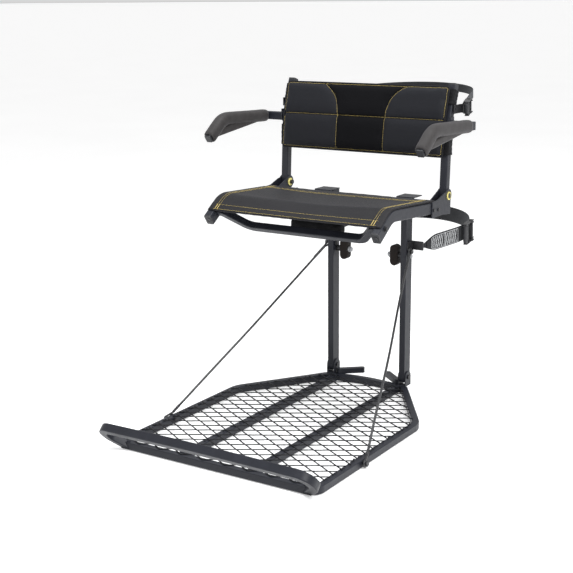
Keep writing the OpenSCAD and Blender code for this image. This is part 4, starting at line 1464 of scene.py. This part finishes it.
# ------------------------------------------------------------------ straps
def straps():
    TY, TR = 229.0, 205.0
    rise = math.radians(3.8)

    def slope(z, p):
        x, y, zz = p
        y = y - 38
        return np.array([x, 38 + y * math.cos(rise) - zz * math.sin(rise), z + y * math.sin(rise) + zz * math.cos(rise)])

    def loop_path(hk, step=4.0):
        hk = np.array(hk, float)
        R = TR + 1.2
        a = math.atan2(hk[1] - TY, hk[0]) + math.acos(R / np.hypot(hk[0], hk[1] - TY))
        pts = []
        T0 = np.array([math.cos(a) * R, TY + math.sin(a) * R])
        n = int(np.linalg.norm(T0 - hk) / step)
        for i in range(n):
            p = hk + (T0 - hk) * i / n
            pts.append((p[0], p[1], 0.0))
        m = int((math.pi - 2 * a) * R / step)
        for i in range(m + 1):
            q = a + (math.pi - 2 * a) * i / m
            pts.append((math.cos(q) * R, TY + math.sin(q) * R, 0.0))
        for i in range(n - 1, -1, -1):
            p = hk + (T0 - hk) * i / n
            pts.append((-p[0], p[1], 0.0))
        return pts, a, n, m

    def ribbon(name, z, pts, width, T=1.8, mat="web", out=0.0, wave=0.0):
        """flat web: width(i, s, total) in mm; s is the distance along"""
        P = np.array(pts, float)
        d = np.r_[0, np.cumsum(np.linalg.norm(np.diff(P, axis=0), axis=1))]
        verts, faces, uvs = [], [], []
        n = len(P)
        prof_ = [(-1, -0.5), (-0.94, -1), (-0.5, -1.0), (0, -1), (0.5, -1.0), (0.94, -1), (1, -0.5), (1, 0.5), (0.94, 1), (0.5, 1.0), (0, 1), (-0.5, 1.0), (-0.94, 1), (-1, 0.5)]
        k = len(prof_)
        for i in range(n):
            t = unit(P[min(n - 1, i + 1)] - P[max(0, i - 1)])
            o = unit(np.cross(t, (0, 0, 1)))     # away from the trunk on the right side
            w = width(d[i], d[-1]) / 2
            for (a, b) in prof_:
                q = P[i] + o * (b * T / 2 + out + wave * math.sin(d[i] * 0.05) * abs(a)) + np.array([0, 0, a * w])
                verts.append(slope(z, q))
                uvs.append((d[i] * mm, a * w * mm))
        for i in range(n - 1):
            for j in range(k):
                faces.append((i * k + j, i * k + (j + 1) % k, (i + 1) * k + (j + 1) % k, (i + 1) * k + j))
        faces.append(tuple(range(k))[::-1])
        faces.append(tuple((n - 1) * k + j for j in range(k)))
        return recalc(obj_from(name, verts, faces, mat, True, uvs))

    def hook_wrap(z, hk, w, sgn=1, r=3.4):
        """web folded round the hook plate's bar"""
        pts = []
        for i in range(11):
            a = math.pi * i / 10
            pts.append((hk[0] + sgn * 0 + r * math.cos(a), hk[1] - r * math.sin(a) - 0.0, 0.0))
        return pts

    # lower: narrow at the hook, full width 65 mm on
    low_z = (lweb_lo[2] + 0) * 0 + 426.0
    hk = (166.5, 39.0)
    pts, a, n, m = loop_path(hk, 3.0)

    def wl(s, tot):
        e = min(s, tot - s)
        x = min(1.0, max(0.0, (e - 4) / 62.0))
        x = math.sin(x * math.pi / 2) ** 1.15
        return 13 + 35.0 * x

    lw = ribbon("lower_strap", low_z, pts, wl)
    ride(lw, "mast")
    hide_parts("lower_strap_web")
    # doubled lap sewn with a light zigzag, on the right-hand end
    P = np.array(pts)
    lap = P[5:int(175 / 3.0)]
    d0 = 15.0
    lp = ribbon("lower_strap_lap", low_z, lap, lambda s, tot: wl(s + d0, 4000) - 4.0, 1.7, "web", 1.9)
    ride(lp, "mast")

    D = np.r_[0, np.cumsum(np.linalg.norm(np.diff(P, axis=0), axis=1))]

    def at(s, zz, out):
        p = np.array([np.interp(s, D, P[:, c]) for c in range(3)])
        p2 = np.array([np.interp(s + 1, D, P[:, c]) for c in range(3)])
        o = unit(np.cross(unit(p2 - p), (0, 0, 1)))
        return slope(low_z, p + o * out + np.array([0, 0, zz])), o

    zz = []
    seg = []
    for panel in ((38, 96), (100, 158)):
        for first in (1, -1):
            s = panel[0]
            up_ = first
            row = []
            while s < panel[1]:
                hw_ = (wl(s, 4000) - 11) / 2
                row.append(at(s, up_ * hw_, 3.0)[0])
                s += 8.6
                up_ = -up_
            seg.append(row)
        fr_ = []
        for s in np.linspace(panel[0] - 2, panel[1] + 1, 20):
            fr_.append(at(s, (wl(s, 4000) - 8) / 2, 3.0)[0])
        seg.append(fr_)
        fr_ = []
        for s in np.linspace(panel[0] - 2, panel[1] + 1, 20):
            fr_.append(at(s, -(wl(s, 4000) - 8) / 2, 3.0)[0])
        seg.append(fr_)
        for s in (panel[0] - 2, panel[1] + 1):
            h_ = (wl(s, 4000) - 8) / 2
            seg.append([at(s, q, 3.0)[0] for q in np.linspace(-h_, h_, 8)])
    obs = []
    for r in seg:
        obs.append(sweep("z", resample(r, 1.6), circle_sec(0.62, 6), "white", (1, 0.2, 0)))
    z = join("lower_strap_zigzag", obs)
    ride(z, "mast")

    # upper
    hk2 = (SX + RW / 2 + 9.5, 33.0)
    pts2, a2, n2, m2 = loop_path(hk2, 4.0)
    uw = ribbon("upper_strap", 829.0, pts2, lambda s, tot: 25.0)
    ride(uw, "mast")
    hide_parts("upper_strap_web")
    return


straps()


# ------------------------------------------------------------ ratchet detail
def ratchets():
    for nm, jn, h, body in (("lower", "lower_ratchet_open", 26.0, "lower_handle"), ("upper", "upper_ratchet_open", 14.5, "upper_handle")):
        j = JOINT[jn]
        c = np.array(j["pos_m"]) / mm
        ax = unit(j["axis"])
        ang = math.radians(7) if nm == "lower" else None
        if ang is None:
            # direction of the straight run from the hook
            TY, R = 229.0, 206.2
            hk = np.array([SX + RW / 2 + 9.5, 33.0])
            ang = math.atan2(hk[1] - TY, hk[0]) + math.acos(R / np.hypot(hk[0], hk[1] - TY))
        rise = math.radians(3.8)

        def loc(x, y, z):
            u = np.array([math.cos(ang) * x - math.sin(ang) * y, math.sin(ang) * x + math.cos(ang) * y, z])
            return c + np.array([u[0], u[1] * math.cos(rise) - u[2] * math.sin(rise), u[1] * math.sin(rise) + u[2] * math.cos(rise)])

        obs = []
        # toothed wheels on the spindle, inside the handle's cheeks
        teeth = 12
        for s in (-1, 1):
            zc = s * (h + 2.6)
            vs, fs = [], []
            for zz in (zc - 0.45, zc + 0.45):
                for q in range(teeth * 2):
                    a = math.pi * q / teeth
                    r = 9.6 if q % 2 else 7.2
                    vs.append(loc(r * math.cos(a), r * math.sin(a), zz))
            k = teeth * 2
            for q in range(k):
                fs.append((q, (q + 1) % k, k + (q + 1) % k, k + q))
            fs.append(tuple(range(k))[::-1])
            fs.append(tuple(range(k, 2 * k)))
            obs.append(recalc(obj_from("g", vs, fs, "dullzinc", False)))
        ob = join(nm + "_ratchet_wheels", obs)
        bevel(ob, 0.2, 1)
        ride(ob, "mast")
        # web wound on the spindle
        vs = []
        wnd = []
        for q in range(int(2.6 * 40) + 1):
            a = 2 * math.pi * q / 40
            r = 4.6 + 1.25 * a / (2 * math.pi)
            wnd.append(loc(r * math.cos(a), r * math.sin(a), 0))
        up = loc(0, 0, 1) - loc(0, 0, 0)
        hw_ = h - 2.2
        sec = [(-0.6, -hw_), (0.6, -hw_), (0.6, hw_), (-0.6, hw_)]
        wob = sweep(nm + "_web_wrap", wnd, sec, "web", tuple(up))
        ride(wob, "mast")
        # moulded grip on the handle's cross bar
        g = []
        for q in range(23):
            zz = -h + 1.0 + (2 * h - 2) * q / 22
            g.append(loc(0.0, -49.5, zz))
        sc = [0.9 + 0.1 * math.sin(math.pi * q / 22) + 0.05 * abs(math.sin(q * 1.2)) for q in range(23)]
        go = sweep(nm + "_handle_grip", g, rrect_sec(15, 11, 4, 3), "cap", (1, 0, 0), sc)
        ride(go, body)


ratchets()


# ------------------------------------------------------- small fitted parts
def cap_rings():
    """moulded round dish on each tube plug"""
    def ringo(name, c, d, r, body, up=(1, 0, 0)):
        d = unit(d)
        c = np.array(c, float)
        prof_ = [(r, 0.0), (r, 0.8), (r - 1.2, 1.0), (r - 2.2, 0.2), (0.01, 0.2)]
        a_ = unit(np.cross(d, up))
        b_ = unit(np.cross(d, a_))
        vs, fs = [], []
        k = 28
        for (rr, hh) in prof_:
            for q in range(k):
                t = 2 * math.pi * q / k
                vs.append(c + d * hh + a_ * rr * math.cos(t) + b_ * rr * math.sin(t))
        for i in range(len(prof_) - 1):
            for q in range(k):
                fs.append((i * k + q, i * k + (q + 1) % k, (i + 1) * k + (q + 1) % k, (i + 1) * k + q))
        o = recalc(obj_from(name, vs, fs, "cap"))
        return o

    sr = np.array([0, -417.5, 538.5])
    srt = unit(np.array([0, -75, -51.5]))
    for s in (-1, 1):
        nm = "right" if s > 0 else "left"
        o = ringo("rail_plug_dish_" + nm, np.array([s * SX, 0, 0]) + sr + srt * 5.0, srt, 8.0, "seat")
        ride(o, "seat")
        t = unit(np.array([0, 34, 101.0]))
        o = ringo("upright_plug_dish_" + nm, np.array([s * SX, 17, 891.0]) + t * 5.0, t, 7.0, "mast")
        ride(o, "mast")


cap_rings()

# ------------------------------------------------------------ stage, camera
lo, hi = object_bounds()
size = 500.0
bpy.ops.mesh.primitive_plane_add(size=size, location=(0, 0, lo.z - 0.002))
fl = bpy.context.active_object
fl.name = "floor"
fl.data.materials.append(M["floor"])

w = bpy.data.worlds.new("studio")
bpy.context.scene.world = w
w.use_nodes = True
nt = w.node_tree
bg = nt.nodes["Background"] if "Background" in nt.nodes else nt.nodes.new("ShaderNodeBackground")
bg.inputs[0].default_value = (1.0, 1.0, 1.0, 1)
bg.inputs[1].default_value = 0.66


def area(name, loc, target, sx, sy, power, color=(1, 1, 1)):
    ld = bpy.data.lights.new(name, "AREA")
    ld.shape = "RECTANGLE"
    ld.size, ld.size_y = sx, sy
    ld.energy = power
    ld.color = color
    o = bpy.data.objects.new(name, ld)
    o.location = loc
    o.rotation_euler = (Vector(target) - Vector(loc)).to_track_quat("-Z", "Y").to_euler()
    bpy.context.scene.collection.objects.link(o)
    return o


area("key_right", (2.8, -1.2, 2.4), (0, -0.2, 0.5), 1.8, 1.8, 85)
area("top", (0.2, -0.6, 3.0), (0, -0.3, 0.3), 2.4, 2.4, 72, (0.96, 0.98, 1.0))
area("front_left", (-2.2, -3.2, 1.7), (0, -0.2, 0.5), 1.6, 1.6, 16, (0.96, 0.98, 1.0))

cam = bpy.data.objects.new("camera", bpy.data.cameras.new("camera"))
bpy.context.scene.collection.objects.link(cam)
cam.data.sensor_width = 36
cam.data.lens = 1189.65 / 573 * 36
cam.data.clip_start, cam.data.clip_end = 0.05, 1500
az, th, rho = math.radians(33.03), math.radians(13.68), -0.0085
F = Vector((-math.sin(az) * math.cos(th), math.cos(az) * math.cos(th), -math.sin(th)))
R = Vector((math.cos(az), math.sin(az), 0))
U = R.cross(F)
R2 = R * math.cos(rho) + U * math.sin(rho)
U2 = R * -math.sin(rho) + U * math.cos(rho)
mat = Matrix(((R2.x, U2.x, -F.x, 1.680), (R2.y, U2.y, -F.y, -3.0178), (R2.z, U2.z, -F.z, 1.1326), (0, 0, 0, 1)))
cam.matrix_world = mat
bpy.context.scene.camera = cam
bpy.context.scene.view_settings.view_transform = "Standard"
bpy.context.scene.view_settings.look = "None"
